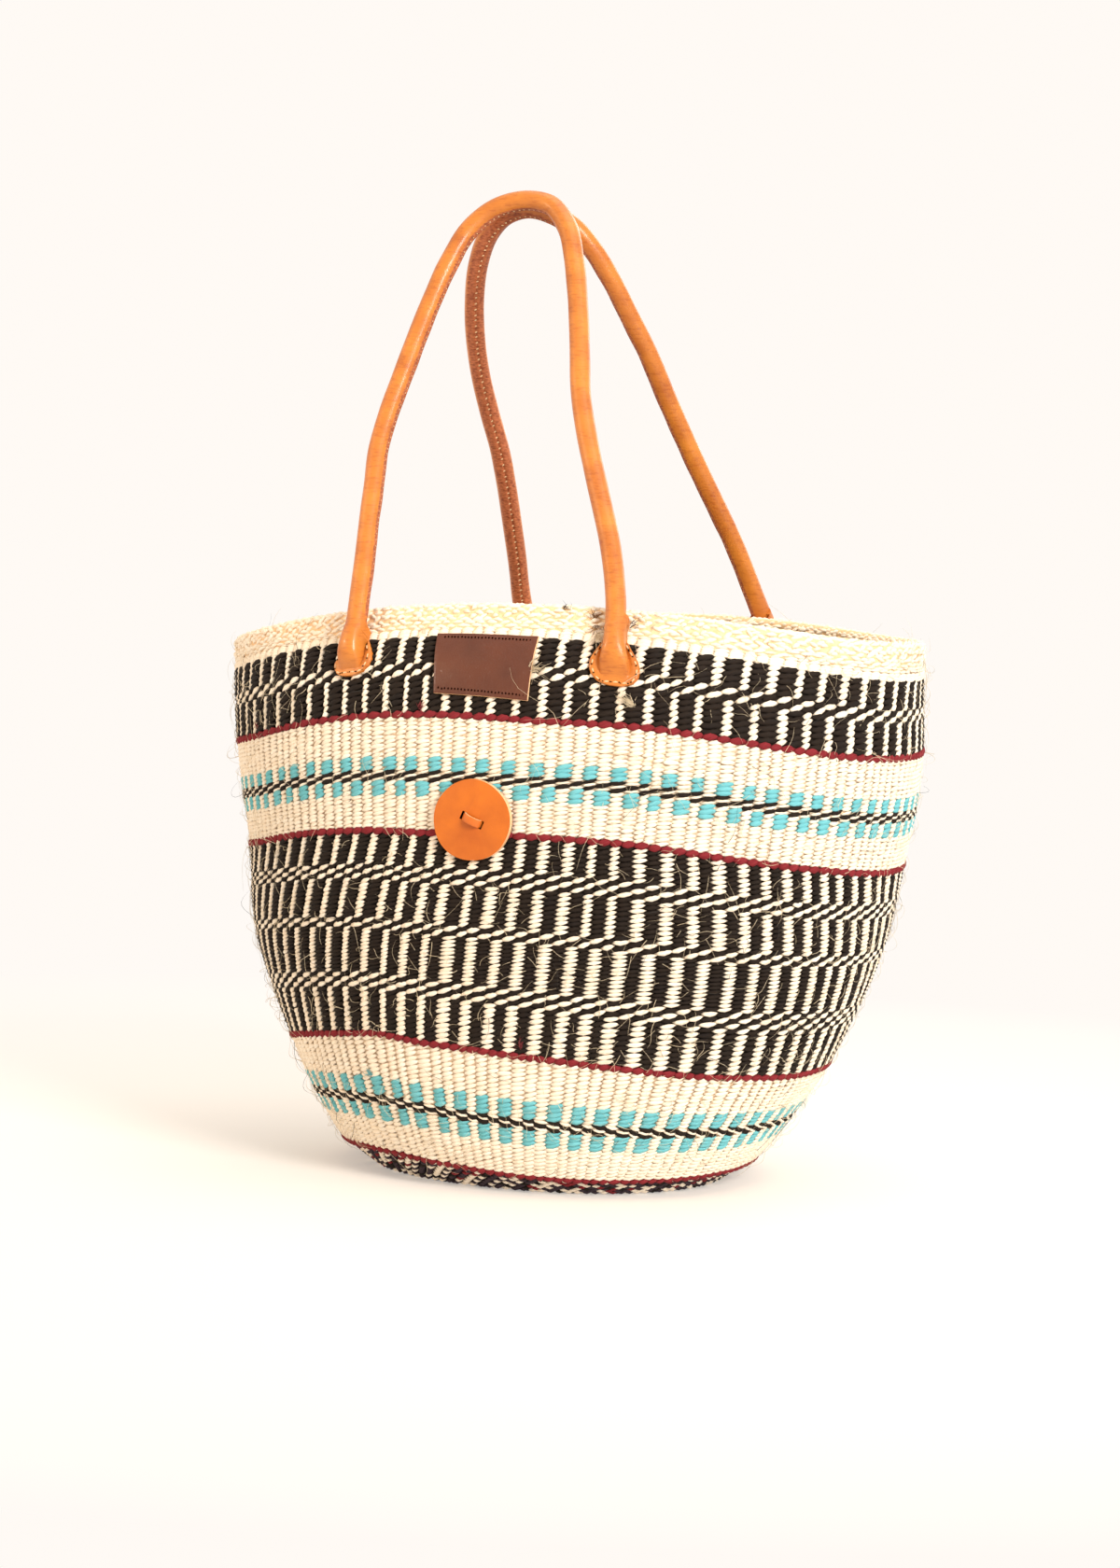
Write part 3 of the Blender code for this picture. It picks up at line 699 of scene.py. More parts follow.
def warp_shell(name, start, stop, yarn):
    """The layer of warps that the stitches are twined round."""
    turns = even_turns(ROUND_STEPS // 4)
    up = np.linspace(start, stop, 13)
    ends = [(place, -WARP_DEPTH) for place in up]
    ends += [(place, WARP_DEPTH - WALL_THICKNESS) for place in up[::-1]]
    rings = [off_wall(place_at_run(wander(run_at_place(place), turns)), turns, lift)
             for place, lift in ends]
    # This mesh has no strand coordinates, so the yarn's shader takes all of it for a stitch's tip
    # and gives it the yarn's painted shade, which shows in the gaps between the stitches.
    made = plain_mesh(name, np.concatenate(rings), ring_faces(len(rings), len(turns), True),
                      yarn_material(yarn))
    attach(made, "basket")


# Materials
def fill(tree, node, inputs):
    """Set a node's inputs to values, or link them to the sockets of other nodes."""
    for name, source in inputs.items():
        if isinstance(source, bpy.types.NodeSocket):
            tree.links.new(source, node.inputs[name])
        else:
            node.inputs[name].default_value = source


def add_node(tree, kind, inputs=(), **settings):
    """A new shader node with its settings and inputs."""
    node = tree.nodes.new("ShaderNode" + kind)
    for name, value in settings.items():
        setattr(node, name, value)
    fill(tree, node, dict(inputs))
    return node


def new_group(name, inputs):
    """An empty node group that gives out a colour, a height and a roughness."""
    group = bpy.data.node_groups.new(name, "ShaderNodeTree")
    for label, value in inputs.items():
        kind = "NodeSocketColor" if isinstance(value, tuple) else "NodeSocketFloat"
        made = group.interface.new_socket(label, in_out="INPUT", socket_type=kind)
        made.default_value = value
    group.interface.new_socket("Colour", in_out="OUTPUT", socket_type="NodeSocketColor")
    for label in ("Height", "Roughness"):
        group.interface.new_socket(label, in_out="OUTPUT", socket_type="NodeSocketFloat")
    start = group.nodes.new("NodeGroupInput")
    end = group.nodes.new("NodeGroupOutput")
    return group, start.outputs, end


def mix_colour(tree, factor, first, second):
    inputs = {0: factor, 6: first, 7: second}
    return add_node(tree, "Mix", inputs, data_type="RGBA").outputs[2]


def maths(tree, operation, first, second=0.0, third=0.0):
    inputs = {0: first, 1: second, 2: third}
    return add_node(tree, "Math", inputs, operation=operation).outputs[0]


def span(tree, source, low, high, new_low=0.0, new_high=1.0):
    """A number's range from low to high, spread over another range."""
    inputs = enumerate((source, low, high, new_low, new_high))
    return add_node(tree, "MapRange", inputs).outputs[0]


def object_place(tree):
    return add_node(tree, "TexCoord").outputs["Object"]


def place_noise(tree, place, scale, detail=2.0):
    """Soft noise at a place."""
    inputs = {"Scale": scale, "Detail": detail, "Vector": place}
    return add_node(tree, "TexNoise", inputs).outputs["Fac"]


def stretch_place(tree, place, scale):
    """A place, scaled along each axis."""
    inputs = {0: place, 1: scale}
    return add_node(tree, "VectorMath", inputs, operation="MULTIPLY").outputs["Vector"]


def fibre_group():
    """Twisted plant fibre: streaks along the strand, tone from stitch to stitch, and painted
    shade on the tips and sides of each stitch.
    """
    if "twisted fibre" in bpy.data.node_groups:
        return bpy.data.node_groups["twisted fibre"]
    # Shade is the colour of the darker fibres, of the random tone and of the painted shade; Depth
    # is the strength of the painted shade.
    group, given, end = new_group("twisted fibre", {
        "Colour": (1, 1, 1, 1), "Shade": (0, 0, 0, 1), "Streaks": 0.5, "Depth": 0.4})
    strand = add_node(group, "UVMap", uv_map="strand")
    tone = add_node(group, "Attribute", attribute_name="tone").outputs["Fac"]
    along, around, _ = add_node(group, "SeparateXYZ", {0: strand.outputs[0]}).outputs
    twist = maths(group, "MULTIPLY_ADD", along, 0.35, around)
    joined = add_node(group, "CombineXYZ", {
        0: maths(group, "MULTIPLY", along, 1.6), 1: maths(group, "MULTIPLY", twist, 16.0),
        2: maths(group, "MULTIPLY", tone, 37.0)})
    streaks = place_noise(group, joined.outputs[0], 1.0, 3.0)
    streak = span(group, streaks, 0.30, 0.72)
    # Painted shade at the tips, where a stitch dives under its neighbours.
    ends = maths(group, "ABSOLUTE", maths(group, "SUBTRACT", along, 0.5))
    tip_shade = span(group, ends, 0.26, 0.50)
    between = maths(group, "SUBTRACT", 1.0, streak)
    dark = maths(group, "MULTIPLY", between, given["Streaks"])
    # Painted shade on the sides of a stitch, towards the rows above and below; tips and sides are
    # mixed toward the Shade colour as strongly as Depth.
    off_top = maths(group, "PINGPONG", maths(group, "SUBTRACT", around, 0.25), 0.5)
    sides = span(group, off_top, 0.14, 0.33)
    painted_shade_mask = maths(group, "MAXIMUM", tip_shade, sides)
    deep = maths(group, "MULTIPLY", painted_shade_mask, given["Depth"])
    shade = maths(group, "MAXIMUM", dark, deep)
    depth = span(group, tone, 0.0, 1.0, 0.18, -0.06)
    factor = maths(group, "ADD", shade, depth)
    fill(group, end, {
        "Colour": mix_colour(group, factor, given["Colour"], given["Shade"]),
        "Height": streak, "Roughness": span(group, streak, 0, 1, 0.86, 0.62)})
    return group


def new_material(name):
    """A material with its node tree and its shader."""
    material = bpy.data.materials.new(name)
    material.use_nodes = True
    tree = material.node_tree
    return material, tree, tree.nodes["Principled BSDF"]


def wear_group(tree, shader, group, values, strength, distance):
    """Give a shader the colour, the roughness and the relief of a node group."""
    given = add_node(tree, "Group", values, node_tree=group).outputs
    fill(tree, shader, {"Base Color": given["Colour"], "Roughness": given["Roughness"]})
    add_bump(tree, shader, given["Height"], strength, distance)


def add_bump(tree, shader, height, strength, distance):
    inputs = {"Strength": strength, "Distance": distance, "Height": height}
    fill(tree, shader, {"Normal": add_node(tree, "Bump", inputs).outputs[0]})


# For each yarn: the darker colour of its streaks, of its random tone and of its painted shade, how
# strongly the streaks show, and how strongly the painted shade darkens each stitch's tips and
# sides.
YARN_STREAKS_AND_PAINTED_SHADE = {
    "cream": ((0.85, 0.60, 0.35), 0.28, 0.46),
    "black": ((0.028, 0.017, 0.010), 0.60, 0.0),
    "turquoise": ((0.055, 0.33, 0.38), 0.50, 0.15),
    "red": ((0.090, 0.007, 0.010), 0.5, 0.4),
    "navy": ((0.020, 0.011, 0.012), 0.5, 0.4),
}


def yarn_material(yarn):
    name = yarn + "_strands"
    if name in bpy.data.materials:
        return bpy.data.materials[name]
    shade, streaks, depth = YARN_STREAKS_AND_PAINTED_SHADE[yarn]
    material, tree, shader = new_material(name)
    values = {"Colour": (*getattr(colours(), yarn), 1), "Shade": (*shade, 1),
              "Streaks": streaks, "Depth": depth}
    wear_group(tree, shader, fibre_group(), values, 0.55, 0.0004)
    fill(tree, shader, {"Specular IOR Level": 0.30 if yarn == "cream" else 0.15})
    return material


def speckled_material(name, first, second, scale, roughness):
    """Two colours mixed by noise."""
    material, tree, shader = new_material(name)
    noise = place_noise(tree, object_place(tree), scale)
    colour = mix_colour(tree, noise, (*first, 1), (*second, 1))
    fill(tree, shader, {"Base Color": colour, "Roughness": roughness})
    return material


def leather_group():
    """Leather: fine pores, soft mottling and a slow change of tone, with painted shade in the
    creases of its wrinkles.
    """
    if "leather grain" in bpy.data.node_groups:
        return bpy.data.node_groups["leather grain"]
    group, given, end = new_group("leather grain", {
        "Colour": (1, 1, 1, 1), "Shade": (0, 0, 0, 1), "Scale": 600.0, "Mottling": 0.4,
        "Wrinkles": 0.0})
    place = object_place(group)
    pores = add_node(group, "TexVoronoi", {"Vector": place, "Scale": given["Scale"]},
                     feature="DISTANCE_TO_EDGE")
    pore = span(group, pores.outputs["Distance"], 0.0, 0.10)
    cloud = span(group, place_noise(group, place, 60.0, 6.0), 0.35, 0.70)
    tall = stretch_place(group, place, (1.0, 1.0, 5.0))
    lines = span(group, place_noise(group, tall, 190.0, 5.0), 0.52, 0.66)
    line = maths(group, "MULTIPLY", lines, given["Wrinkles"])
    mottle = maths(group, "MULTIPLY", cloud, given["Mottling"])
    # The wrinkle lines darken the colour as well as dent the relief: painted shade in the creases,
    # on top of the mottling's real tone.
    factor = maths(group, "MULTIPLY_ADD", line, 0.45, mottle)
    height = maths(group, "MULTIPLY_ADD", cloud, 0.4, pore)
    fill(group, end, {
        "Colour": mix_colour(group, factor, given["Colour"], given["Shade"]),
        "Height": maths(group, "SUBTRACT", height, line),
        "Roughness": span(group, cloud, 0, 1, 0.30, 0.46)})
    return group


def leather_material(name, colour, shade, mottling=0.35, scale=700.0, bump=0.12, coat=0.25):
    if name in bpy.data.materials:
        return bpy.data.materials[name]
    material, tree, shader = new_material(name)
    values = {"Colour": (*colour, 1), "Shade": (*shade, 1), "Scale": scale,
              "Mottling": mottling}
    wear_group(tree, shader, leather_group(), values, bump, 0.0003)
    fill(tree, shader, {"Specular IOR Level": 0.3, "Coat Weight": coat,
                        "Coat Roughness": 0.16})
    return material


def handle_material():
    """Smooth leather that turns to its rough side near the seam."""
    name = "handle_leather"
    if name in bpy.data.materials:
        return bpy.data.materials[name]
    paint = colours()
    # Its Shade colour serves for the darker mottles and for the painted shade in the creases of
    # its wrinkles, which the Wrinkles setting below turns on.
    material = leather_material(name, tuple(paint.leather), (0.34, 0.075, 0.010), 0.60,
                                bump=0.20, coat=0.28)
    tree = material.node_tree
    grain = next(node for node in tree.nodes if node.type == "GROUP")
    bump = next(node for node in tree.nodes if node.type == "BUMP")
    fill(tree, grain, {"Wrinkles": 0.7})
    seam = add_node(tree, "Attribute", attribute_name="seam").outputs["Fac"]
    crumple = stretch_place(tree, object_place(tree), (0.3, 0.3, 0.9))
    fuzz = place_noise(tree, crumple, 1400.0, 5.0)
    mask = span(tree, maths(tree, "MULTIPLY_ADD", fuzz, 0.30, seam), 0.62, 0.78)
    tone = mix_colour(tree, span(tree, fuzz, 0.35, 0.7), (*paint.flesh, 1),
                      (0.20, 0.040, 0.012, 1))
    rough = add_node(tree, "Mix", {0: mask, 2: grain.outputs["Roughness"], 3: 0.85})
    fill(tree, tree.nodes["Principled BSDF"], {
        "Base Color": mix_colour(tree, mask, grain.outputs["Colour"], tone),
        "Roughness": rough.outputs[0]})
    rise = maths(tree, "MULTIPLY", mask, fuzz)
    height = maths(tree, "MULTIPLY_ADD", rise, 3.0, grain.outputs["Height"])
    fill(tree, bump, {"Height": height})
    return material


def thread_material():
    name = "sewing_thread"
    if name in bpy.data.materials:
        return bpy.data.materials[name]
    material, tree, shader = new_material(name)
    # Shade and Depth also paint shade on the tips and sides of each thread stitch.
    values = {"Colour": (*colours().thread, 1), "Shade": (0.42, 0.20, 0.07, 1),
              "Streaks": 0.4, "Depth": 0.3}
    wear_group(tree, shader, fibre_group(), values, 0.4, 0.0002)
    return material


def hole_shadow_material():
    """Painted shadow at the bottom of an awl hole."""
    name = "awl_hole"
    if name in bpy.data.materials:
        return bpy.data.materials[name]
    material, tree, shader = new_material(name)
    fill(tree, shader, {"Base Color": (0.014, 0.003, 0.001, 1), "Roughness": 0.9,
                        "Specular IOR Level": 0.0})
    return material


# Operators, one for each group of pieces
class KIONDO_OT_weave_wall(bpy.types.Operator):
    """Twine the four bands of the wall, outside and inside"""
    bl_idname = "kiondo.weave_wall"
    bl_label = "Weave the wall"

    def execute(self, context):
        size = sizes()
        half = size.row_height * 0.52
        runs = [run_at_place(place) for place in RED_ROW_SHARES]
        above = [float(place_at_run(run + half)) for run in runs]
        below = [float(place_at_run(run - half)) for run in runs[1:]] + [stripe_top()]
        bands = (
            ("lower_cream", LOWER_CREAM_ROWS, size.lower_warps, 11, "cream", 0.96),
            ("main_striped", MAIN_ROWS, size.main_warps, 23, "black", 0.97),
            ("upper_cream", UPPER_CREAM_ROWS, size.upper_warps, 37, "cream", 0.96),
            ("top_striped", TOP_ROWS, size.upper_warps, 41, "black", 0.74),
        )
        for (name, rows, warps, seed, yarn, light), start, stop in zip(bands, above, below):
            node = name + "_band"
            band = (start, stop, rows, warps, seed)
            if name == "main_striped":
                weave_band(name + "_lower_weave", node, band, light, part=(0.5, 1.0),
                           fans=WARP_FAN)
                weave_band(name + "_upper_weave", None, band, light, part=(0.0, 0.5),
                           fans=WARP_FAN)
            else:
                weave_band(name + "_weave", node, band, light)
            weave_band(name + "_inner_weave", None, band, light, inside=True)
            warp_shell(name + "_warps", start, stop, yarn)
        return {"FINISHED"}


class KIONDO_OT_red_rows(bpy.types.Operator):
    """Twine the four dark red rows between the bands"""
    bl_idname = "kiondo.red_rows"
    bl_label = "Red rows"

    def execute(self, context):
        size = sizes()
        rows = (("base_red_row", BASE_ROW_SHARE, size.lower_warps, 3),
                ("lower_red_row", LOWER_ROW_SHARE, size.main_warps, 5),
                ("middle_red_row", MIDDLE_ROW_SHARE, size.upper_warps, 7),
                ("upper_red_row", UPPER_ROW_SHARE, size.upper_warps, 9))
        for node, place, warps, seed in rows:
            weave_row(node, place, warps, seed)
        return {"FINISHED"}


# Warps round the flat base, from its edge in: least share of the reach, and count
BASE_WARPS = ((0.62, 98), (0.36, 64), (0.16, 32), (0.0, 14))
BASE_WARP_DEPTH = 0.0014
BASE_WARP_INSET = 0.0004


class KIONDO_OT_weave_base(bpy.types.Operator):
    """Twine the base from its centre out to its turned-up edge"""
    bl_idname = "kiondo.weave_base"
    bl_label = "Weave the base"

    def execute(self, context):
        size = sizes()
        rng = np.random.default_rng(71)
        pile = StitchPile(5)
        edge_run = run_at_place(BASE_ROW_SHARE) - size.row_height * 0.52
        edge_rows = round(edge_run / size.row_height)
        for row in range(edge_rows):
            for inside in (False, True):
                run = (row + 0.5) * edge_run / edge_rows
                self.ring(pile, rng, run, size.lower_warps, row, 1.0, inside)
        flat = float(np.linalg.norm(wall_point(0.0, FRONT)[:2]))
        flat_rows = int(flat / size.row_height)
        for row in range(flat_rows):
            share = (row + 0.5) / flat_rows
            warps = next(count for least, count in BASE_WARPS if share > least)
            for inside in (False, True):
                self.ring(pile, rng, 0.0, warps, row, share, inside)
        made = pile.build("woven_base_weave")
        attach(made, "basket")
        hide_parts("woven_base")
        self.core()
        return {"FINISHED"}

    def ring(self, pile, rng, run, warps, row, share, inside):
        """One row on the turned-up edge, or on the flat at a share of its reach."""
        size = sizes()
        proud = size.stitch_proud
        turns = even_turns(warps) + row * 0.37
        place = place_at_run(wander(run, turns))
        noise = rng.normal(0, 1, (4, warps))
        if share < 1.0:
            edge = wall_point(0.0, turns)
            centre = edge * share
            centre[:, 2] = WALL_THICKNESS - proud * 0.2 if inside else proud
            side = unit(wall_point(0.0, turns + PROBE) - edge)
            down = np.array([0.0, 0.0, -1.0])
            up = np.cross(down, side)
            frame = (-side, up, -down) if inside else (side, up, down)
        else:
            centre, frame = on_face(place, turns, 0.0 if inside else -proud * 0.8, inside)
        girth = perimeter(float(np.mean(place))) * share
        block = (np.arange(warps) + row // 2 * 2) % 4
        pick = rng.random(warps)
        dark = np.where(pick < 0.75, NAVY, np.where(pick < 0.85, RED, BLACK))
        colour = np.where((block < 2) & (pick < 0.70), CREAM, dark)
        measures = (girth / warps * 0.66, size.row_height * 0.60, proud * 0.95,
                    size.row_height * 0.22, proud * 0.6)
        pile.lay(centre, frame, measures, colour, np.clip(0.5 + 0.2 * noise[0], 0, 1))

    def core(self):
        """The layer of warps inside the base, a dish with a turned-up edge."""
        turns = even_turns(ROUND_STEPS // 6)
        up = np.linspace(0.0, BASE_ROW_SHARE, 6)
        ends = [(place, -BASE_WARP_DEPTH - BASE_WARP_INSET) for place in up]
        ends += [(place, BASE_WARP_DEPTH - WALL_THICKNESS) for place in up[::-1]]
        rings = [off_wall(place, turns, lift) for place, lift in ends]
        rings[0][:, 2] = BASE_WARP_DEPTH
        rings[-1][:, 2] = WALL_THICKNESS - BASE_WARP_DEPTH
        # This mesh has no strand coordinates, so the yarn's shader takes all of it for a stitch's
        # tip and gives it the yarn's painted shade, which shows between the stitches.
        made = plain_mesh("woven_base_warps", np.concatenate(rings),
                          ring_faces(len(rings), len(turns)), yarn_material("navy"))
        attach(made, "basket")


# The hem's section from its outer foot over the top: share of its height, of its half
HEM_SECTION_SHARES = (
    (0.00, 1.00), (0.40, 1.00), (0.76, 1.00), (0.93, 0.74), (1.00, 0.28),
    (1.00, -0.28), (0.93, -0.74), (0.76, -1.00), (0.40, -1.00), (0.00, -1.00),
)
# How much higher the fold stands at the front, and where round the hem, how broadly
HEM_CROWN = 0.0017
CROWN_MIDDLE = 0.48
CROWN_SPREAD = 0.16
HEM_PROBE = 0.004
HEM_FOOT_SWELL = 0.0004
HEM_SWELL_SHARE = 0.30
# The plain rows below the fold: distance from the rim, then a stitch's half height,
# thickness, slant and dive
FOOT_MARGINS = (0.0168, 0.0157, 0.0146)
FOOT_STITCH = (0.0014, 0.0011, 0.0004, 0.0009)
FOOT_LIFT = 0.0004
# The fold's stitches: thickness, slant and dive, and how deep their middles and the
# folded warps under them lie
FOLD_STITCH = (0.00125, 0.0003, 0.0013)
FOLD_SUNK = 0.0009
FOLD_LOOSE = 0.00034
FILLING_SUNK = 0.0013
# Colours of the folded warps, darker and more orange than the yarn: painted shade where they show
# between the braid's stitches.
FILLING_GAP_SHADE_COLOURS = ((0.68, 0.38, 0.16), (0.90, 0.70, 0.46))


def hem_half(share):
    """Half the hem's thickness, swelling from the wall's at its foot."""
    halves = (WALL_THICKNESS / 2 + HEM_FOOT_SWELL, HEM_THICKNESS / 2)
    return np.interp(share, (0.0, HEM_SWELL_SHARE), halves)


def hem_point(around, turn, sunk=0.0):
    """A point of the hem: around runs over its section from outside to inside."""
    table = np.array(HEM_SECTION_SHARES)
    runs = runs_along(table * (HEM_HEIGHT, HEM_THICKNESS / 2))
    share, across = (np.interp(around, runs / runs[-1], column) for column in table.T)
    foot = hem_foot()
    lift = across * (hem_half(share) - sunk) - WALL_THICKNESS / 2
    point = off_wall(foot + (1 - foot) * share, turn, lift)
    front = 0.5 - 0.5 * np.sin(turn)
    point[..., 2] += HEM_CROWN * front * np.exp(-((around - CROWN_MIDDLE) / CROWN_SPREAD) ** 2)
    return point


def hem_frame(around, turn):
    """Sideways, upward and outward directions on the hem."""
    up = hem_point(around + HEM_PROBE, turn) - hem_point(around - HEM_PROBE, turn)
    side = hem_point(around, turn + HEM_PROBE) - hem_point(around, turn - HEM_PROBE)
    side, up = unit(side), unit(up)
    out = unit(np.cross(side, up))
    return side, np.cross(out, side), out


# The rim's rows: place round the hem, slant, half length and half height of a stitch
RIM_ROWS = (
    (0.015, 0.04, 0.66, 0.00110), (0.066, -0.05, 0.66, 0.00110), (0.120, 0.10, 0.64, 0.00115),
    (0.174, -0.20, 0.60, 0.00118), (0.228, 0.30, 0.56, 0.00120), (0.282, -0.24, 0.56, 0.00120),
    (0.334, 0.26, 0.56, 0.00120), (0.386, -0.15, 0.62, 0.00118), (0.438, 0.12, 0.68, 0.00115),
    (0.486, -0.08, 0.72, 0.00110), (0.532, 0.10, 0.72, 0.00110), (0.580, -0.14, 0.66, 0.00115),
    (0.632, 0.26, 0.58, 0.00120), (0.686, -0.24, 0.56, 0.00120), (0.740, 0.26, 0.56, 0.00120),
    (0.794, -0.18, 0.60, 0.00118), (0.848, 0.10, 0.64, 0.00115), (0.902, -0.06, 0.66, 0.00110),
    (0.955, 0.05, 0.66, 0.00110),
)


class KIONDO_OT_braid_rim(bpy.types.Operator):
    """Turn the rim over and braid it"""
    bl_idname = "kiondo.braid_rim"
    bl_label = "Braid the rim"

    def execute(self, context):
        rng = np.random.default_rng(97)
        pile = StitchPile(6)
        turns, widths = warp_turns(sizes().upper_warps, 41)
        for margin in FOOT_MARGINS:
            self.foot_row(pile, rng, turns, widths, margin)
        for index, (around, slant, length, height) in enumerate(RIM_ROWS):
            offset = 0.5 * (index % 2)
            self.row(pile, rng, turns, widths, offset, around, slant, length, height)
        made = pile.build("rim_braid", [yarn_material("cream")])
        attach(made, "basket")
        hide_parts("rim_hem")
        self.filling()
        return {"FINISHED"}

    def foot_row(self, pile, rng, turns, widths, margin):
        """One plain row on the wall, between the stripes and the fold."""
        measures = (widths * perimeter(0.95) * 0.68, *FOOT_STITCH)
        for inside in (False, True):
            noise = rng.normal(0, 1, (2, len(turns)))
            at = 1 - (margin + noise[0] * 0.0001) / solid_run()
            pile.lay(*on_face(at, turns, FOOT_LIFT, inside), measures, CREAM,
                     np.clip(0.5 + 0.2 * noise[1], 0, 1))

    def row(self, pile, rng, turns, widths, offset, around, slant, length, height):
        """One row of the fold, its stitches leaning one way."""
        noise = rng.normal(0, 1, (7, len(turns)))
        rough = min(abs(slant) * 2.2 + 0.25, 1.0)
        angles = turns + (offset + noise[0] * rough * 0.12) * widths * 2 * math.pi
        at = around + noise[1] * (0.004 + 0.010 * rough)
        side, up, out = hem_frame(at, angles)
        lean = slant * (1 + 0.5 * noise[2]) + noise[3] * 0.24 * rough
        along = side * np.cos(lean)[:, None] + up * np.sin(lean)[:, None]
        sunk = FOLD_SUNK - FOLD_LOOSE * rough * noise[4]
        centre = hem_point(at, angles) - out * sunk[:, None]
        pitch = widths * perimeter(0.98)
        measures = (pitch * length * (1 + 0.22 * rough * noise[5]),
                    height * (1 + 0.12 * noise[6]), *FOLD_STITCH)
        pile.lay(centre, (along, np.cross(out, along), out), measures, CREAM,
                 np.clip(0.5 + 0.26 * noise[5], 0, 1))

    def filling(self):
        """The folded warps that the braid wraps, painted as the shade in the braid's gaps."""
        turns = even_turns(ROUND_STEPS // 4)
        rings = [hem_point(around, turns, FILLING_SUNK) for around in np.linspace(0, 1, 22)]
        fill = plain_mesh("rim_filling", np.concatenate(rings),
                          ring_faces(len(rings), len(turns), True),
                          speckled_material("rim_filling", *FILLING_GAP_SHADE_COLOURS, 500.0, 0.9))
        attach(fill, "basket")


# Frayed ends: yarn, place up the wall, angle, count, length and heading
TUFTS = (
    ("red", 0.851, -1.740, 16, 0.0036, 0.9), ("red", 0.848, -2.426, 14, 0.0030, 2.4),
    ("red", 0.302, -1.348, 18, 0.0036, 1.4), ("turquoise", 0.231, -1.986, 18, 0.0038, 2.2),
    ("brown", 0.982, -1.275, 14, 0.0052, 1.9), ("brown", 0.970, -1.262, 12, 0.0056, 4.6),
    ("black", 0.996, -1.368, 10, 0.0026, 0.3), ("black", 0.976, -1.172, 12, 0.0032, 0.6),
    ("cream", 0.960, -1.750, 9, 0.0050, 5.0), ("cream", 0.955, -1.250, 26, 0.0090, 5.2),
    ("cream", 0.900, -1.420, 26, 0.0090, 0.2), ("cream", 0.870, -1.130, 30, 0.0080, 2.8),
)
FIBRE_COLOURS = {
    "red": (0.26, 0.024, 0.030), "turquoise": (0.20, 0.54, 0.58),
    "brown": (0.22, 0.11, 0.045), "black": (0.008, 0.006, 0.005),
    "cream": (0.90, 0.74, 0.50), "dark": (0.03, 0.025, 0.02),
}


class KIONDO_OT_tufts(bpy.types.Operator):
    """Leave small frayed tufts where yarns end"""
    bl_idname = "kiondo.tufts"
    bl_label = "Frayed tufts"

    def execute(self, context):
        rng = np.random.default_rng(211)
        groups = {}
        for yarn, place, turn, count, length, heading in TUFTS:
            places = place + rng.normal(0, 0.0022, count)
            turns = turn + rng.normal(0, 0.0045, count)
            headings = heading + rng.normal(0, 0.55, count)
            lengths = length * rng.uniform(0.5, 1.3, count)
            made = strand_points(rng, np.minimum(places, 0.999), turns, headings, lengths,
                                 rng.uniform(0.00012, 0.00028, count), 0.30)
            groups.setdefault(yarn, []).append(made)
        for yarn, pieces in groups.items():
            made = strand_mesh(yarn + "_tufts", np.concatenate(pieces),
                               [hair_material(yarn + "_tuft", FIBRE_COLOURS[yarn])])
            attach(made, "basket")
        return {"FINISHED"}


STRAND_STEPS = 7
STRAND_SIDES = 3
# How far off the wall a fibre's root lies, and its middle at the most
STRAND_LIFT = 0.0009
STRAND_TOP = 0.006
STRAND_TIP_SHARE = 0.3


def strand_points(rng, places, turns, headings, lengths, thick, lift_share=0.16):
    """Points of many short bent fibres rooted on the wall."""
    count = len(places)
    side, up, out = wall_frame(places, turns)
    root = off_wall(places, turns, 0.0002 + 0 * turns)
    ahead = side * np.cos(headings)[:, None] + up * np.sin(headings)[:, None]
    across = side * -np.sin(headings)[:, None] + up * np.cos(headings)[:, None]
    bend = rng.normal(0, 0.36, count) * lengths
    curl = rng.normal(0, 0.06, count) * lengths
    lift = rng.gamma(2.0, lift_share / 2, count) * lengths
    points = []
    for step in range(STRAND_STEPS + 1):
        t = step / STRAND_STEPS
        away = bend * t * t + curl * math.sin(math.pi * 2 * t)
        spine = root + ahead * (lengths * t)[:, None] + across * away[:, None]
        arch = np.minimum(lift, STRAND_TOP) * math.sin(math.pi * t) + STRAND_LIFT
        spine = spine + out * arch[:, None]
        taper = thick * (1 - (1 - STRAND_TIP_SHARE) * t)
        for k in range(STRAND_SIDES):
            angle = 2 * math.pi * k / STRAND_SIDES
            ring = across * (taper * math.cos(angle))[:, None]
            points.append(spine + ring + out * (taper * math.sin(angle))[:, None])
    return np.stack(points, axis=1)


def strand_mesh(name, grid, materials, slots=None):
    """One mesh of many fibres, each a closed three-sided tube."""
    count = len(grid)
    each = (STRAND_STEPS + 1) * STRAND_SIDES
    faces = ring_faces(STRAND_STEPS + 1, STRAND_SIDES)[:-2]
    last = STRAND_STEPS * STRAND_SIDES
    ends = ((2, 1, 0), (last, last + 1, last + 2))
    starts = np.arange(count)[:, None, None] * each
    quads = (np.array(faces)[None] + starts).reshape(-1, 4)
    caps = (np.array(ends)[None] + starts).reshape(-1, 3)
    mesh = bpy.data.meshes.new(name)
    mesh.from_pydata(grid.reshape(-1, 3).tolist(), [], quads.tolist() + caps.tolist())
    mesh.shade_smooth()
    for material in materials:
        mesh.materials.append(material)
    if slots is not None:
        index = np.concatenate([np.repeat(slots, len(faces)), np.repeat(slots, len(ends))])
        mesh.polygons.foreach_set("material_index", index.astype(np.int32))
    return add_object(name, mesh)


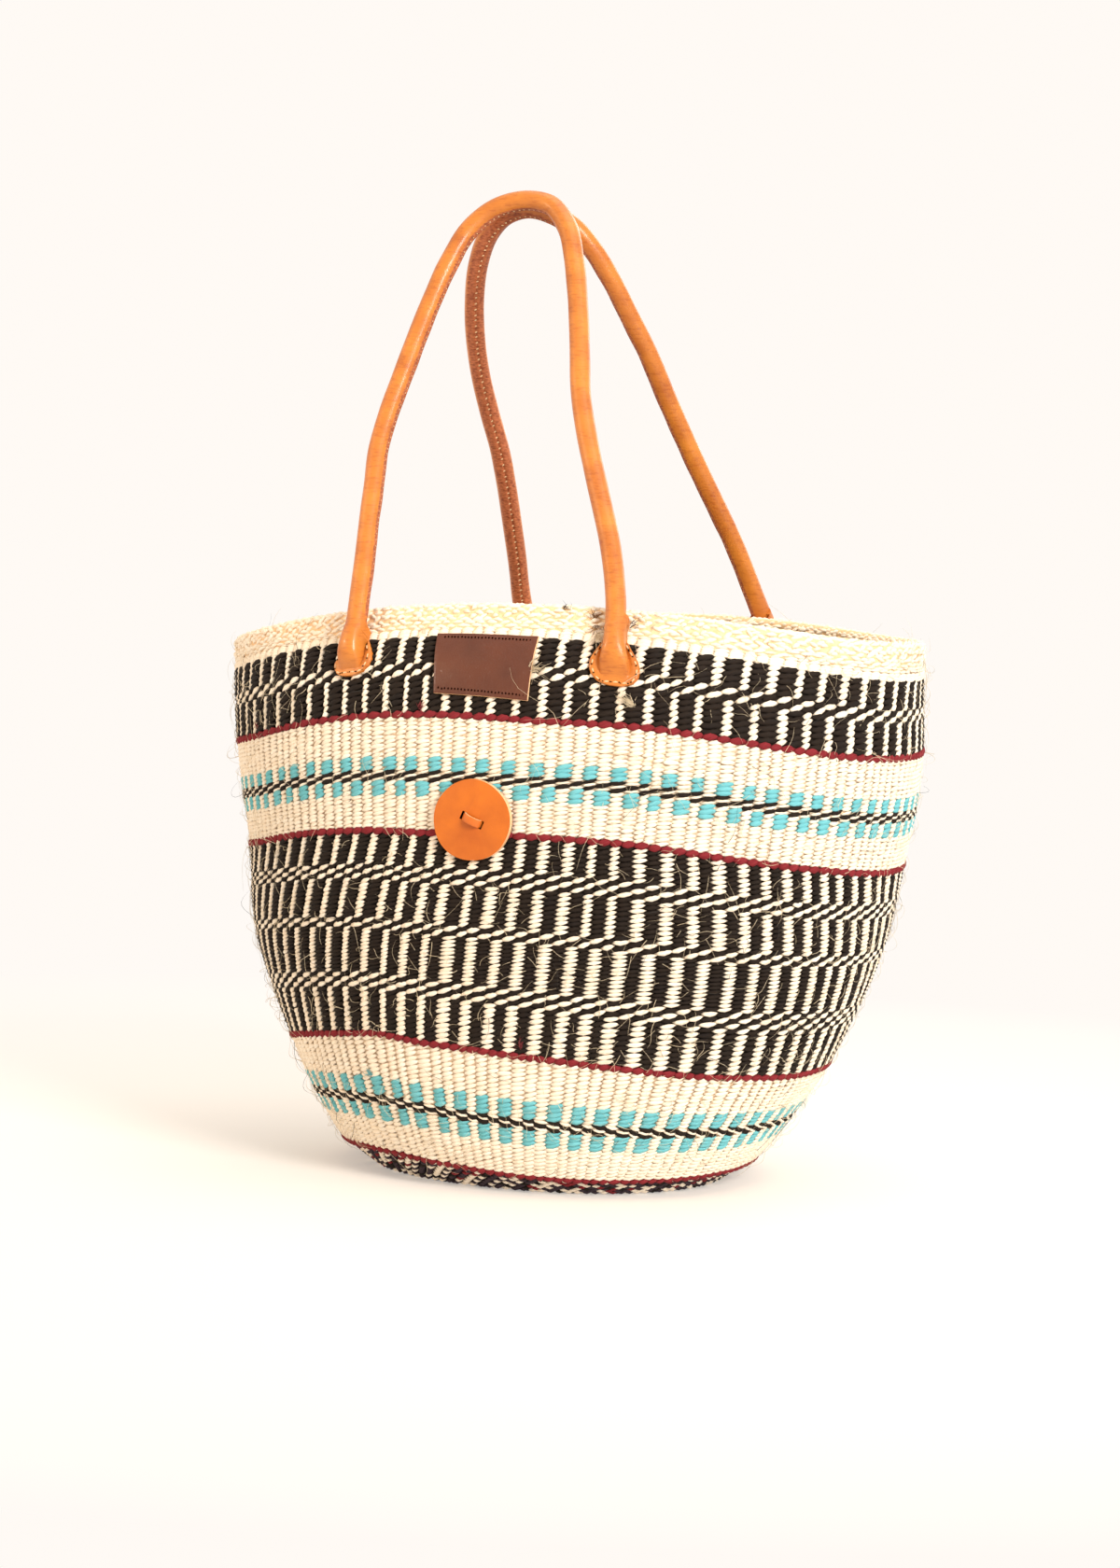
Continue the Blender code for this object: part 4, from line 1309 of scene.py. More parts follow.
class KIONDO_OT_loose_fibres(bpy.types.Operator):
    """Scatter fine loose fibres over the weave"""
    bl_idname = "kiondo.loose_fibres"
    bl_label = "Loose fibres"

    def execute(self, context):
        rng = np.random.default_rng(131)
        count = sizes().hair_count
        places = rng.uniform(0.09, 0.99, count)
        turns = rng.uniform(0, 2 * math.pi, count)
        lengths = rng.gamma(3.0, 0.0030, count) + 0.003
        grid = strand_points(rng, places, turns, rng.uniform(0, 2 * math.pi, count), lengths,
                             rng.uniform(0.00009, 0.00017, count))
        dark = (rng.random(count) < 0.10).astype(int)
        root = off_wall(places, turns, 0 * turns)
        button = wall_point(BUTTON_SHARE, turn_at(BUTTON_SHARE, BUTTON_SHIFT, -1))
        high = neck_place() - LABEL_HEIGHT / 2 / solid_run()
        label = wall_point(high, turn_at(high, 0.0, -1))
        clear = np.linalg.norm(root - button, axis=1) > BUTTON_RADIUS * 1.6
        clear &= np.linalg.norm(root - label, axis=1) > LABEL_WIDTH * 0.85
        grid, dark = grid[clear], dark[clear]
        made = strand_mesh("loose_fibres", grid, [
            hair_material("loose_cream", FIBRE_COLOURS["cream"]),
            hair_material("loose_dark", FIBRE_COLOURS["dark"])], dark)
        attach(made, "basket")
        return {"FINISHED"}


def hair_material(name, colour):
    return speckled_material(name, colour, tuple(c * 0.55 for c in colour), 90.0, 0.6)


# The handles: the seam's turn round the tube and the rough side's reach from it, in
# degrees, at shares of the length, for the front and the back one
SEAM_PLACES = (0.0, 0.42, 0.62, 1.0)
SEAM_TURNS = {-1: (8.0, 8.0, 20.0, 20.0), 1: (66.0, 62.0, 36.0, 44.0)}
ROUGH_PLACES = (0.0, 0.44, 0.52, 1.0)
ROUGH_SPREADS = {-1: (58.0, 58.0, 58.0, 58.0), 1: (135.0, 135.0, 62.0, 62.0)}
HANDLE_STEPS = 190


def neck_of(side, facing):
    """Angle, point and outward direction where a leg leaves its tab."""
    spacing = FRONT_LEG_SPACING if facing < 0 else BACK_LEG_SPACING
    shift = -FRONT_HANDLE_SHIFT if facing < 0 else -BACK_HANDLE_SHIFT
    place = neck_place()
    turn = turn_at(place, side * spacing / 2 + shift, facing)
    return turn, off_wall(place, turn, TUBE_LIFT), wall_frame(place, turn)[2]


def handle_path(facing, steps):
    """Centre line of a handle, from its left neck to its right neck."""
    left, right = neck_of(-1, facing)[1], neck_of(1, facing)[1]
    table = np.array(FRONT_ROUTE_SHARES if facing < 0 else BACK_ROUTE_SHARES)
    across, up = table[:, 0], table[:, 1]
    blend = np.clip((across + 1) / 2, 0, 1)
    foot = left[None, :] * (1 - blend[:, None]) + right[None, :] * blend[:, None]
    points = foot.copy()
    points[:, 0] = (left[0] + right[0]) / 2 + across * (right[0] - left[0]) / 2
    grip = facing * (TUBE_RADIUS + GRIP_GAP / 2)
    points[:, 1] = foot[:, 1] + (grip - foot[:, 1]) * up
    points[:, 2] = foot[:, 2] + HANDLE_RISE * up
    return resample(points, steps)


def path_frames(path, facing):
    """Heading, seam direction and third direction along a handle."""
    place = neck_place()
    heading = unit(np.gradient(path, axis=0))
    heading[0] = wall_frame(place, neck_of(-1, facing)[0])[1]
    heading[-1] = -wall_frame(place, neck_of(1, facing)[0])[1]
    flat = unit(np.cross(path[-1] - path[0], path[len(path) // 2] - path[0]))
    inward = unit(np.cross(flat, heading))
    if np.dot(inward[0], path[-1] - path[0]) < 0:
        inward = -inward
    depth = np.cross(heading, inward)
    depth *= np.sign(np.dot(depth[len(depth) // 2], np.array([0.0, -facing, 0.0])))
    turn = np.radians(np.interp(np.linspace(0, 1, len(path)), SEAM_PLACES, SEAM_TURNS[facing]))
    seam = inward * np.cos(turn)[:, None] + depth * np.sin(turn)[:, None]
    third = unit(np.cross(heading, seam))
    return heading, unit(seam), third


def tube_angles():
    """Angles round the tube, closer together near the seam at zero."""
    half = np.radians((0, 4, 8, 13, 19, 27, 38, 52, 70, 90, 112, 135, 157))
    return np.concatenate([half, [math.pi], -half[:0:-1]])


def build_tube(facing):
    """Rings of the leather tube: points and seam closeness."""
    path = handle_path(facing, HANDLE_STEPS)
    _, seam, third = path_frames(path, facing)
    angles = tube_angles()
    wrapped = np.abs((angles + math.pi) % (2 * math.pi) - math.pi)
    runs = runs_along(path)
    pitch = sizes().seam_pitch
    groove = np.exp(-(wrapped / 0.11) ** 2)
    lips = np.exp(-((wrapped - 0.26) / 0.13) ** 2)
    pinch = 0.5 + 0.5 * np.cos(2 * math.pi * runs / pitch)
    rng = np.random.default_rng(5 + facing)
    slow = np.interp(runs, np.linspace(0, runs[-1], 40), rng.normal(0, 0.012, 40))
    radius = TUBE_RADIUS * (0.985 + slow[:, None] - 0.13 * groove[None, :]
                            + (0.035 - 0.035 * pinch[:, None]) * lips[None, :])
    points = (path[:, None, :] + seam[:, None, :] * (radius * np.cos(angles))[..., None]
              + third[:, None, :] * (radius * np.sin(angles))[..., None])
    spread = np.radians(np.interp(runs / runs[-1], ROUGH_PLACES, ROUGH_SPREADS[facing]))
    closeness = np.clip(1 - wrapped[None, :] / spread[:, None], 0, 1)
    return points, closeness


# How a tube dies out in a left and a right tab: share of the height, of the
# swelling, of the radius
BULGE_ROW_SHARES = {
    -1: ((0.00, 0.00, 1.10), (0.15, 0.00, 1.10), (0.21, 0.22, 1.14), (0.30, 0.52, 1.18),
         (0.42, 0.78, 1.16), (0.58, 0.92, 1.10), (0.76, 0.98, 1.06), (0.88, 1.00, 1.04),
         (1.00, 1.00, 1.04)),
    1: ((0.00, 0.00, 1.10), (0.15, 0.00, 1.15), (0.22, 0.14, 1.28), (0.32, 0.40, 1.38),
        (0.45, 0.66, 1.32), (0.60, 0.86, 1.16), (0.76, 0.96, 1.03), (0.88, 1.00, 1.00),
        (1.00, 1.00, 1.00)),
}
# The left tab's outer edge springs from the tube lower down than its inner edge
SPRING_ROW_SHARES = ((0.00, 1.00), (0.28, 1.02), (0.42, 0.90), (0.56, 0.66), (1.00, 0.60))


def tab_half(share, side, facing, hand):
    """Half the width of a tab, towards its left or its right hand."""
    broad = (LEFT_TAB if side < 0 else RIGHT_TAB)[0]
    half = read_table(TAB_ROW_SHARES, share) * broad / 2
    if side < 0 and hand * facing > 0:
        half = half * read_table(SPRING_ROW_SHARES, share)
    return half


def build_tab_grid(side, facing, columns=44):
    """Front and back grids of a tab, with the swelling of the tube."""
    turn = neck_of(side, facing)[0]
    place = neck_place()
    tall = (LEFT_TAB if side < 0 else RIGHT_TAB)[1]
    above = np.array([1.12, 1.26])
    fine = np.concatenate([[0.0, 0.012, 0.035], np.linspace(0.07, 1.0, 24), above])
    rounding = np.interp(fine, (0.0, 0.012, 0.035, 0.07), (0.55, 0.80, 0.94, 1.0))
    halves = {}
    for hand in (-1, 1):
        half = np.maximum(tab_half(fine, side, facing, hand), TUBE_RADIUS * 1.04) * rounding
        halves[hand] = np.where(fine > 1.0, TUBE_RADIUS * 1.01, half)
    swell = read_table(BULGE_ROW_SHARES[side], fine)[:, None]
    width = TUBE_RADIUS * read_table(BULGE_ROW_SHARES[side], fine, 2)[:, None]
    spread = np.linspace(-1, 1, columns + 1)
    sideways = np.where(spread < 0, halves[-1][:, None], halves[1][:, None]) * spread[None, :]
    upwards = (fine[:, None] - 1) * tall + 0 * sideways
    crown = np.sqrt(np.clip(1 - (sideways / width) ** 2, 0, 1))
    plate = LEATHER_GAP + TAB_THICKNESS
    full = TUBE_LIFT + TUBE_RADIUS * crown * 1.012
    rounded = 1 - np.clip((np.abs(spread) - 0.90) / 0.10, 0, 1)[None, :] ** 2 * 0.35
    crease = np.exp(-((np.abs(sideways) - width * 1.06) / 0.0009) ** 2) * swell
    crease = crease * (fine < 0.95)[:, None] * 0.0013
    lift = plate * rounded + swell * np.clip(full - plate, 0, None) * (crown > 0) - crease
    low = np.where(fine > 1.0, TUBE_LIFT, LEATHER_GAP)[:, None] + 0 * sideways
    sideways = sideways + side * facing * math.tan(TAB_SPLAY) * np.minimum(upwards, 0)
    front = on_patch(place, turn, sideways, upwards, lift)
    back = on_patch(place, turn, sideways, upwards, low)
    return front, back


def grid_faces(rows, columns, offset, flip=False):
    faces = []
    for row in range(rows - 1):
        for column in range(columns - 1):
            corner = offset + row * columns + column
            quad = (corner, corner + 1, corner + columns + 1, corner + columns)
            faces.append(tuple(reversed(quad)) if flip else quad)
    return faces


def slab_faces(rows, columns, offset):
    """Faces of a solid between a front grid and the back grid after it."""
    half = rows * columns
    faces = grid_faces(rows, columns, offset)
    faces += grid_faces(rows, columns, offset + half, True)
    edge = list(range(columns))
    edge += [row * columns + columns - 1 for row in range(1, rows)]
    edge += [(rows - 1) * columns + column for column in range(columns - 2, -1, -1)]
    edge += [row * columns for row in range(rows - 2, 0, -1)]
    for first, second in zip(edge, edge[1:] + edge[:1]):
        faces.append((offset + second, offset + first, offset + half + first,
                      offset + half + second))
    return faces


def blend_line(facing):
    """Two points across the hinge, a little below and above the middle between the necks."""
    necks = [neck_of(side, facing)[1] for side in (-1, 1)]
    ups = [wall_frame(neck_place(), neck_of(side, facing)[0])[1] for side in (-1, 1)]
    middle = (necks[0] + necks[1]) / 2
    axis = unit(necks[1] - necks[0])
    up = (ups[0] + ups[1]) / 2
    up = unit(up - axis * np.dot(up, axis))
    return tuple(middle - up * 0.004), tuple(middle + up * 0.012)


# The seam's stitches end this far from the necks
SEAM_MARGIN = 0.016
# The stitches round the tabs: how far in from the edge, how far apart, how near the
# line's ends, then a stitch's and an awl hole's half length and height, thickness,
# slant and dive, and the hole's distance from the stitch's middle; the holes are dark
# spots of painted shadow
TAB_SEAM_INSET = 0.0018
TAB_STITCH_PITCH = 0.0048
TAB_SEAM_MARGIN = 0.001
TAB_STITCH = (0.00190, 0.00048, 0.00045, 0.00012, 0.0005)
TAB_HOLE_SHADOW = (0.00050, 0.00055, 0.00018, 0.0, 0.0001)
TAB_HOLE_REACH = 0.00195


class KIONDO_OT_handles(bpy.types.Operator):
    """Sew two round leather handles with flared tabs"""
    bl_idname = "kiondo.handles"
    bl_label = "Handles"

    def execute(self, context):
        for label, facing in (("front", -1), ("back", 1)):
            self.leather(label, facing)
            self.seam(label, facing)
            for word, side in (("left", -1), ("right", 1)):
                self.tab_stitches(label + "_" + word, side, facing)
        fibre = cord_material()
        for node in ("front_handle_core", "back_handle_core"):
            bpy.data.objects[node].material_slots[0].material = fibre
        return {"FINISHED"}

    def leather(self, label, facing):
        tube, closeness = build_tube(facing)
        rings, count = tube.shape[:2]
        points = [tube.reshape(-1, 3)]
        seams = [closeness.ravel()]
        faces = ring_faces(rings, count)
        offset = rings * count
        for side in (-1, 1):
            front, back = build_tab_grid(side, facing)
            rows, columns = front.shape[:2]
            points += [front.reshape(-1, 3), back.reshape(-1, 3)]
            seams += [np.zeros(2 * rows * columns)]
            faces += slab_faces(rows, columns, offset)
            offset += 2 * rows * columns
        made = plain_mesh(label + "_handle_leather", np.concatenate(points), faces,
                          handle_material())
        seam = made.data.attributes.new("seam", "FLOAT", "POINT")
        seam.data.foreach_set("value", np.concatenate(seams).astype(np.float32))
        start, end = blend_line(facing)
        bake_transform(made)
        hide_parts(label + "_handle_sleeve", label + "_left_tab", label + "_right_tab")

    def seam(self, label, facing):
        """Short stitches across the seam, all along the tube."""
        path = handle_path(facing, HANDLE_STEPS * 4)
        runs = runs_along(path)
        heading, seam, third = path_frames(path, facing)
        pitch = sizes().seam_pitch
        at = np.arange(SEAM_MARGIN, runs[-1] - SEAM_MARGIN, pitch)
        index = np.searchsorted(runs, at)
        centre = path[index] + seam[index] * TUBE_RADIUS * 0.90
        pile = StitchPile(6)
        tone = np.random.default_rng(9).uniform(0.3, 0.8, len(at))
        measures = (0.0020, 0.00042, 0.00050, pitch * 0.16, 0.0007)
        pile.lay(centre, (third[index], heading[index], seam[index]), measures, 0, tone)
        made = pile.build(label + "_handle_seam_thread", [thread_material()])
        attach(made, label + "_handle")

    def tab_stitches(self, label, side, facing):
        """Running stitches round the border of a tab, with painted shadow in the awl holes."""
        turn = neck_of(side, facing)[0]
        line = self.tab_line(side, facing)
        runs = runs_along(line)
        at = np.arange(TAB_SEAM_MARGIN, runs[-1] - TAB_SEAM_MARGIN, TAB_STITCH_PITCH)
        index = np.searchsorted(runs, at)
        spots = line[index]
        place = neck_place()
        lift = LEATHER_GAP + TAB_THICKNESS
        centre = on_patch(place, turn, spots[:, 0], spots[:, 1], lift + 0 * at)
        ahead = unit(np.gradient(line, axis=0)[index])
        wall_side, wall_up, wall_out = wall_frame(place, turn)
        along = ahead[:, :1] * wall_side + ahead[:, 1:2] * wall_up
        axes = (along, np.cross(wall_out, along), wall_out)
        pile = StitchPile(6)
        pile.lay(centre, axes, TAB_STITCH, 0, 0.6)
        # Painted shadow: a dark spot in the awl hole at each end of a stitch.
        for end in (-1, 1):
            pile.lay(centre + along * (end * TAB_HOLE_REACH), axes, TAB_HOLE_SHADOW, 1, 0.2)
        made = pile.build(label + "_tab_stitches", [thread_material(), hole_shadow_material()])
        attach(made, "basket")

    def tab_line(self, side, facing):
        """The line of stitches, down one edge of a tab, across its foot and up the other."""
        tall = (LEFT_TAB if side < 0 else RIGHT_TAB)[1]
        outlines = {}
        for hand in (-1, 1):
            top = 0.46 if side < 0 and hand * facing > 0 else 0.80
            shares = np.linspace(0.10, top, 7)
            halves = tab_half(shares, side, facing, hand) - TAB_SEAM_INSET
            outlines[hand] = [(hand * x, (t - 1) * tall) for x, t in zip(halves, shares)]
        foot = float(tab_half(0.07, side, facing, 1)) - TAB_SEAM_INSET
        bottom = [(x, TAB_SEAM_INSET - tall) for x in np.linspace(-foot * 0.75, foot * 0.75, 4)]
        line = outlines[-1][::-1] + bottom + outlines[1]
        lean = side * facing * math.tan(TAB_SPLAY)
        return resample(np.array([(x + lean * y, y, 0.0) for x, y in line]), 80)


def cord_material():
    """The rope inside a handle."""
    material, tree, shader = new_material("core_fibre")
    inputs = {"Scale": 120.0, "Distortion": 4.0, "Vector": object_place(tree)}
    wave = add_node(tree, "TexWave", inputs).outputs["Fac"]
    colour = mix_colour(tree, wave, (0.45, 0.30, 0.15, 1), (0.72, 0.56, 0.34, 1))
    fill(tree, shader, {"Base Color": colour, "Roughness": 0.85})
    add_bump(tree, shader, wave, 0.4, 0.0005)
    return material


def bevel(piece, width, segments, angle):
    """Round the edges of a piece that are sharper than an angle."""
    edge = piece.modifiers.new("edge", "BEVEL")
    edge.width = width
    edge.segments = segments
    edge.limit_method = "ANGLE"
    edge.angle_limit = math.radians(angle)
    bpy.context.view_layer.objects.active = piece
    bpy.ops.object.modifier_apply(modifier=edge.name)


# The label's awl holes, dark spots of painted shadow: distance from the edge, then half
# length and height, thickness, slant and dive
AWL_INSET = 0.0026
AWL_HOLE_SHADOW = (0.00056, 0.00068, 0.00030, 0.0, 0.0002)


def label_drop(across, up):
    """How far the label hangs below its place, most at its lower right corner."""
    return 0.0008 + 0.0006 * across + 0.0004 * (1 - up) * (1 + across)


def label_wave(across, up):
    """How far the label bulges off the wall, by shares of its half width and height."""
    return 0.00018 * np.sin(across * 5.1 + 1.0) * np.sin(up * 3.7)


class KIONDO_OT_label(bpy.types.Operator):
    """Sew on the plain leather label"""
    bl_idname = "kiondo.label"
    bl_label = "Label"

    def execute(self, context):
        patch = add_primitive("leather_label", bpy.ops.mesh.primitive_grid_add,
                              x_subdivisions=36, y_subdivisions=22, size=2)
        flat = np.array([v.co[:] for v in patch.data.vertices])
        place = neck_place() - LABEL_HEIGHT / 2 / solid_run()
        turn = turn_at(place, 0.0, -1)
        spots = self.shape(flat[:, 0], flat[:, 1], place, turn)
        for vertex, spot in zip(patch.data.vertices, spots):
            vertex.co = spot
        paint = colours()
        patch.data.materials.append(leather_material(
            "label_leather", tuple(paint.label), (0.070, 0.018, 0.008), 0.65, 900.0, 0.30, 0.05))
        patch.data.materials.append(cut_edge_material())
        thick = patch.modifiers.new("thickness", "SOLIDIFY")
        thick.thickness = LABEL_THICKNESS
        thick.offset = 0.0
        thick.material_offset_rim = 1
        bpy.ops.object.modifier_apply(modifier=thick.name)
        bevel(patch, 0.00035, 2, 60)
        bpy.ops.object.shade_smooth_by_angle(angle=math.radians(40))
        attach(patch, "basket")
        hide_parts("label_patch")
        self.stitches(place, turn)
        return {"FINISHED"}

    def shape(self, x, y, place, turn):
        """Points of the hand-cut patch, by shares of its half width and half height."""
        sideways = x * LABEL_WIDTH / 2
        sideways -= np.clip(x, 0, 1) * (0.0010 - 0.0007 * y)
        sideways -= np.clip(-x, 0, 1) * 0.0012 * (1 + y)
        curl = 0.0005 * np.clip(x - 0.75, 0, 1) * 4
        lift = LEATHER_GAP + 0.0007 + LABEL_THICKNESS / 2 + label_wave(x, y) + curl
        return on_patch(place, turn, sideways, y * LABEL_HEIGHT / 2 - label_drop(x, y), lift)

    def stitches(self, place, turn):
        """Rows of awl holes along the top and bottom, as dark spots of painted shadow."""
        count = 26
        rng = np.random.default_rng(13)
        across = np.linspace(-0.90, 0.84, count)
        even = np.linspace(-1, 1, count)
        pile = StitchPile(8)
        for edge in (-1, 1):
            upwards = edge * (LABEL_HEIGHT / 2 - AWL_INSET) + rng.normal(0, STRAY, count)
            upwards -= label_drop(even, edge)
            sideways = across * LABEL_WIDTH / 2 + rng.normal(0, STRAY, count)
            lift = LEATHER_GAP + 0.00082 + LABEL_THICKNESS + label_wave(across, 0.84 * edge)
            centre = on_patch(place, turn, sideways, upwards, lift)
            pile.lay(centre, wall_frame(place, turn), AWL_HOLE_SHADOW, 0, 0.3)
        made = pile.build("label_stitches", [hole_shadow_material()])
        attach(made, "basket")


def cut_edge_material():
    name = "cut_leather_edge"
    if name in bpy.data.materials:
        return bpy.data.materials[name]
    return leather_material(name, (0.90, 0.56, 0.30), (0.62, 0.30, 0.11), 0.6, 1200.0, 0.3, 0.0)


# How high the button stands off the wall, and its unevenness: share of its radius,
# waves round it and start of the first one
BUTTON_LIFT = ROW_PROUD + LEATHER_GAP + 0.0004
BUTTON_WOBBLES = ((0.010, 2, 0.8), (0.008, 3, 2.0), (0.005, 5, 0.3))
BUTTON_WARP = 0.0005
SLOT_CUT = (0.0030, 0.0044, 0.02)
SLOT_SHIFT = 0.0004
# The thong: half its width and thickness, how deep its ends reach, how it arches
THONG_HALVES = (0.0021, 0.0008)
THONG_END = 0.0120
THONG_SUNK = 0.0006
THONG_ARCH = 0.0030
KNOT_RADIUS = 0.0040
KNOT_DEPTH = 0.0088
KNOT_TWIST = 0.0004


def to_button(mesh, lift):
    """Lay a mesh built about its own z axis onto the front of the wall."""
    turn = turn_at(BUTTON_SHARE, BUTTON_SHIFT, -1)
    axes = wall_frame(BUTTON_SHARE, turn)
    turned = np.eye(4)
    turned[:3, :3] = np.stack(axes, axis=1)
    turned[:3, 3] = wall_point(BUTTON_SHARE, turn) + axes[2] * lift
    mesh.transform(Matrix(turned.tolist()))


class KIONDO_OT_button(bpy.types.Operator):
    """Tie on the hand-cut leather button"""
    bl_idname = "kiondo.button"
    bl_label = "Button"

    def execute(self, context):
        self.disc()
        self.thong()
        self.knot()
        return {"FINISHED"}

    def disc(self):
        """The round of leather, cut a little unevenly by hand."""
        disc = add_primitive("leather_button", bpy.ops.mesh.primitive_cylinder_add,
                             vertices=96, radius=BUTTON_RADIUS * 0.985, depth=BUTTON_THICKNESS)
        bpy.ops.object.mode_set(mode="EDIT")
        bpy.ops.mesh.select_all(action="DESELECT")
        bpy.ops.object.mode_set(mode="OBJECT")
        for face in disc.data.polygons:
            face.select = abs(face.normal.z) > 0.9
        bpy.ops.object.mode_set(mode="EDIT")
        for inset in (0.0012, 0.004, 0.005, 0.005):
            bpy.ops.mesh.inset(thickness=inset)
        bpy.ops.object.mode_set(mode="OBJECT")
        for vertex in disc.data.vertices:
            x, y, z = vertex.co
            angle = math.atan2(y, x)
            reach = math.hypot(x, y) / BUTTON_RADIUS
            wobble = sum(much * math.sin(times * angle + start)
                         for much, times, start in BUTTON_WOBBLES)
            vertex.co.x = x * (1 + wobble * reach)
            vertex.co.y = y * (1 + wobble * reach)
            vertex.co.z = z + BUTTON_WARP * math.sin(angle * 2 + 1.1) * reach ** 3
        self.cut_slots(disc)
        bevel(disc, 0.0005, 3, 50)
        paint = colours()
        disc.data.materials.append(leather_material(
            "button_leather", tuple(paint.button), (0.38, 0.070, 0.006), 0.60, 800.0, 0.18, 0.10))
        disc.data.materials.append(cut_edge_material())
        disc.data.materials.append(hole_shadow_material())
        # Side faces near the middle, the slots' walls, take the awl hole's near-black: painted
        # shadow in the slots. The outer rim takes the cut edge's colour.
        for face in disc.data.polygons:
            deep = math.hypot(*face.center[:2]) < BUTTON_RADIUS / 2
            face.material_index = (2 if deep else 1) if abs(face.normal.z) < 0.8 else 0
        disc.data.shade_smooth()
        disc.data.set_sharp_from_angle(angle=math.radians(40))
        to_button(disc.data, BUTTON_LIFT + BUTTON_THICKNESS / 2)
        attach(disc, "button")
        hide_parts("button_disc")

    def cut_slots(self, disc):
        """Cut the two slots that the thong runs through."""
        for side in (-1, 1):
            spot = Matrix.Translation((side * (SLOT_SPACING / 2 + SLOT_SHIFT), 0, 0))
            bpy.ops.mesh.primitive_cube_add(size=1)
            cutter = bpy.context.object
            cutter.data.transform(Matrix.Diagonal((*SLOT_CUT, 1)))
            turn = Matrix.Rotation(SLOT_TILT, 4, "Z")
            cutter.data.transform(turn @ spot)
            cut = disc.modifiers.new("slot", "BOOLEAN")
            cut.object = cutter
            bpy.context.view_layer.objects.active = disc
            bpy.ops.object.modifier_apply(modifier=cut.name)
            bpy.data.objects.remove(cutter, do_unlink=True)

    def thong(self):
        """A flat strap, out of one slot, over the face and into the other."""
        half = SLOT_SPACING / 2
        top = BUTTON_LIFT + BUTTON_THICKNESS - THONG_SUNK
        line = [(half, 0.0, -THONG_END), (half, 0.0, top)]
        line += [(half * math.cos(a), 0.0, top + THONG_ARCH * math.sin(a))
                 for a in np.linspace(0.15, math.pi - 0.15, 13)]
        line += [(-half, 0.0, top), (-half, 0.0, -THONG_END)]
        path = resample(np.array(line), 44)
        heading = unit(np.gradient(path, axis=0))
        wide = np.broadcast_to((0.0, 1.0, 0.0), path.shape)
        thin = unit(np.cross(heading, wide))
        turns = even_turns(16)
        corners = np.stack([np.cos(turns), np.sin(turns)], axis=1)
        section = np.sign(corners) * np.abs(corners) ** 0.4 * THONG_HALVES
        points = (path[:, None, :] + wide[:, None, :] * section[None, :, :1]
                  + thin[:, None, :] * section[None, :, 1:])
        rings, count = points.shape[:2]
        leather = leather_material("thong_leather", (0.62, 0.15, 0.018), (0.48, 0.10, 0.012),
                                   0.5, 1000.0, 0.2, 0.10)
        made = plain_mesh("button_thong_strap", points.reshape(-1, 3),
                          ring_faces(rings, count), leather)
        made.data.materials.append(cut_edge_material())
        for face in made.data.polygons:
            face.material_index = 1 if abs(face.normal.y) > 0.75 else 0
        made.data.transform(Matrix.Rotation(SLOT_TILT, 4, "Z"))
        to_button(made.data, 0.0)
        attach(made, "button")
        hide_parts("button_thong")

    def knot(self):
        """The tied ends inside the wall."""
        ring = add_primitive("button_knot", bpy.ops.mesh.primitive_torus_add,
                             major_radius=KNOT_RADIUS, minor_radius=THONG_HALVES[0],
                             major_segments=32, minor_segments=12)
        for vertex in ring.data.vertices:
            angle = math.atan2(vertex.co.y, vertex.co.x)
            vertex.co.z += KNOT_TWIST * math.sin(2 * angle)
        ring.data.shade_smooth()
        ring.data.materials.append(bpy.data.materials["thong_leather"])
        to_button(ring.data, -WALL_THICKNESS - KNOT_DEPTH)
        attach(ring, "button")
        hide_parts("thong_knot")


BACKDROP = (1.0, 0.955, 0.91, 1)


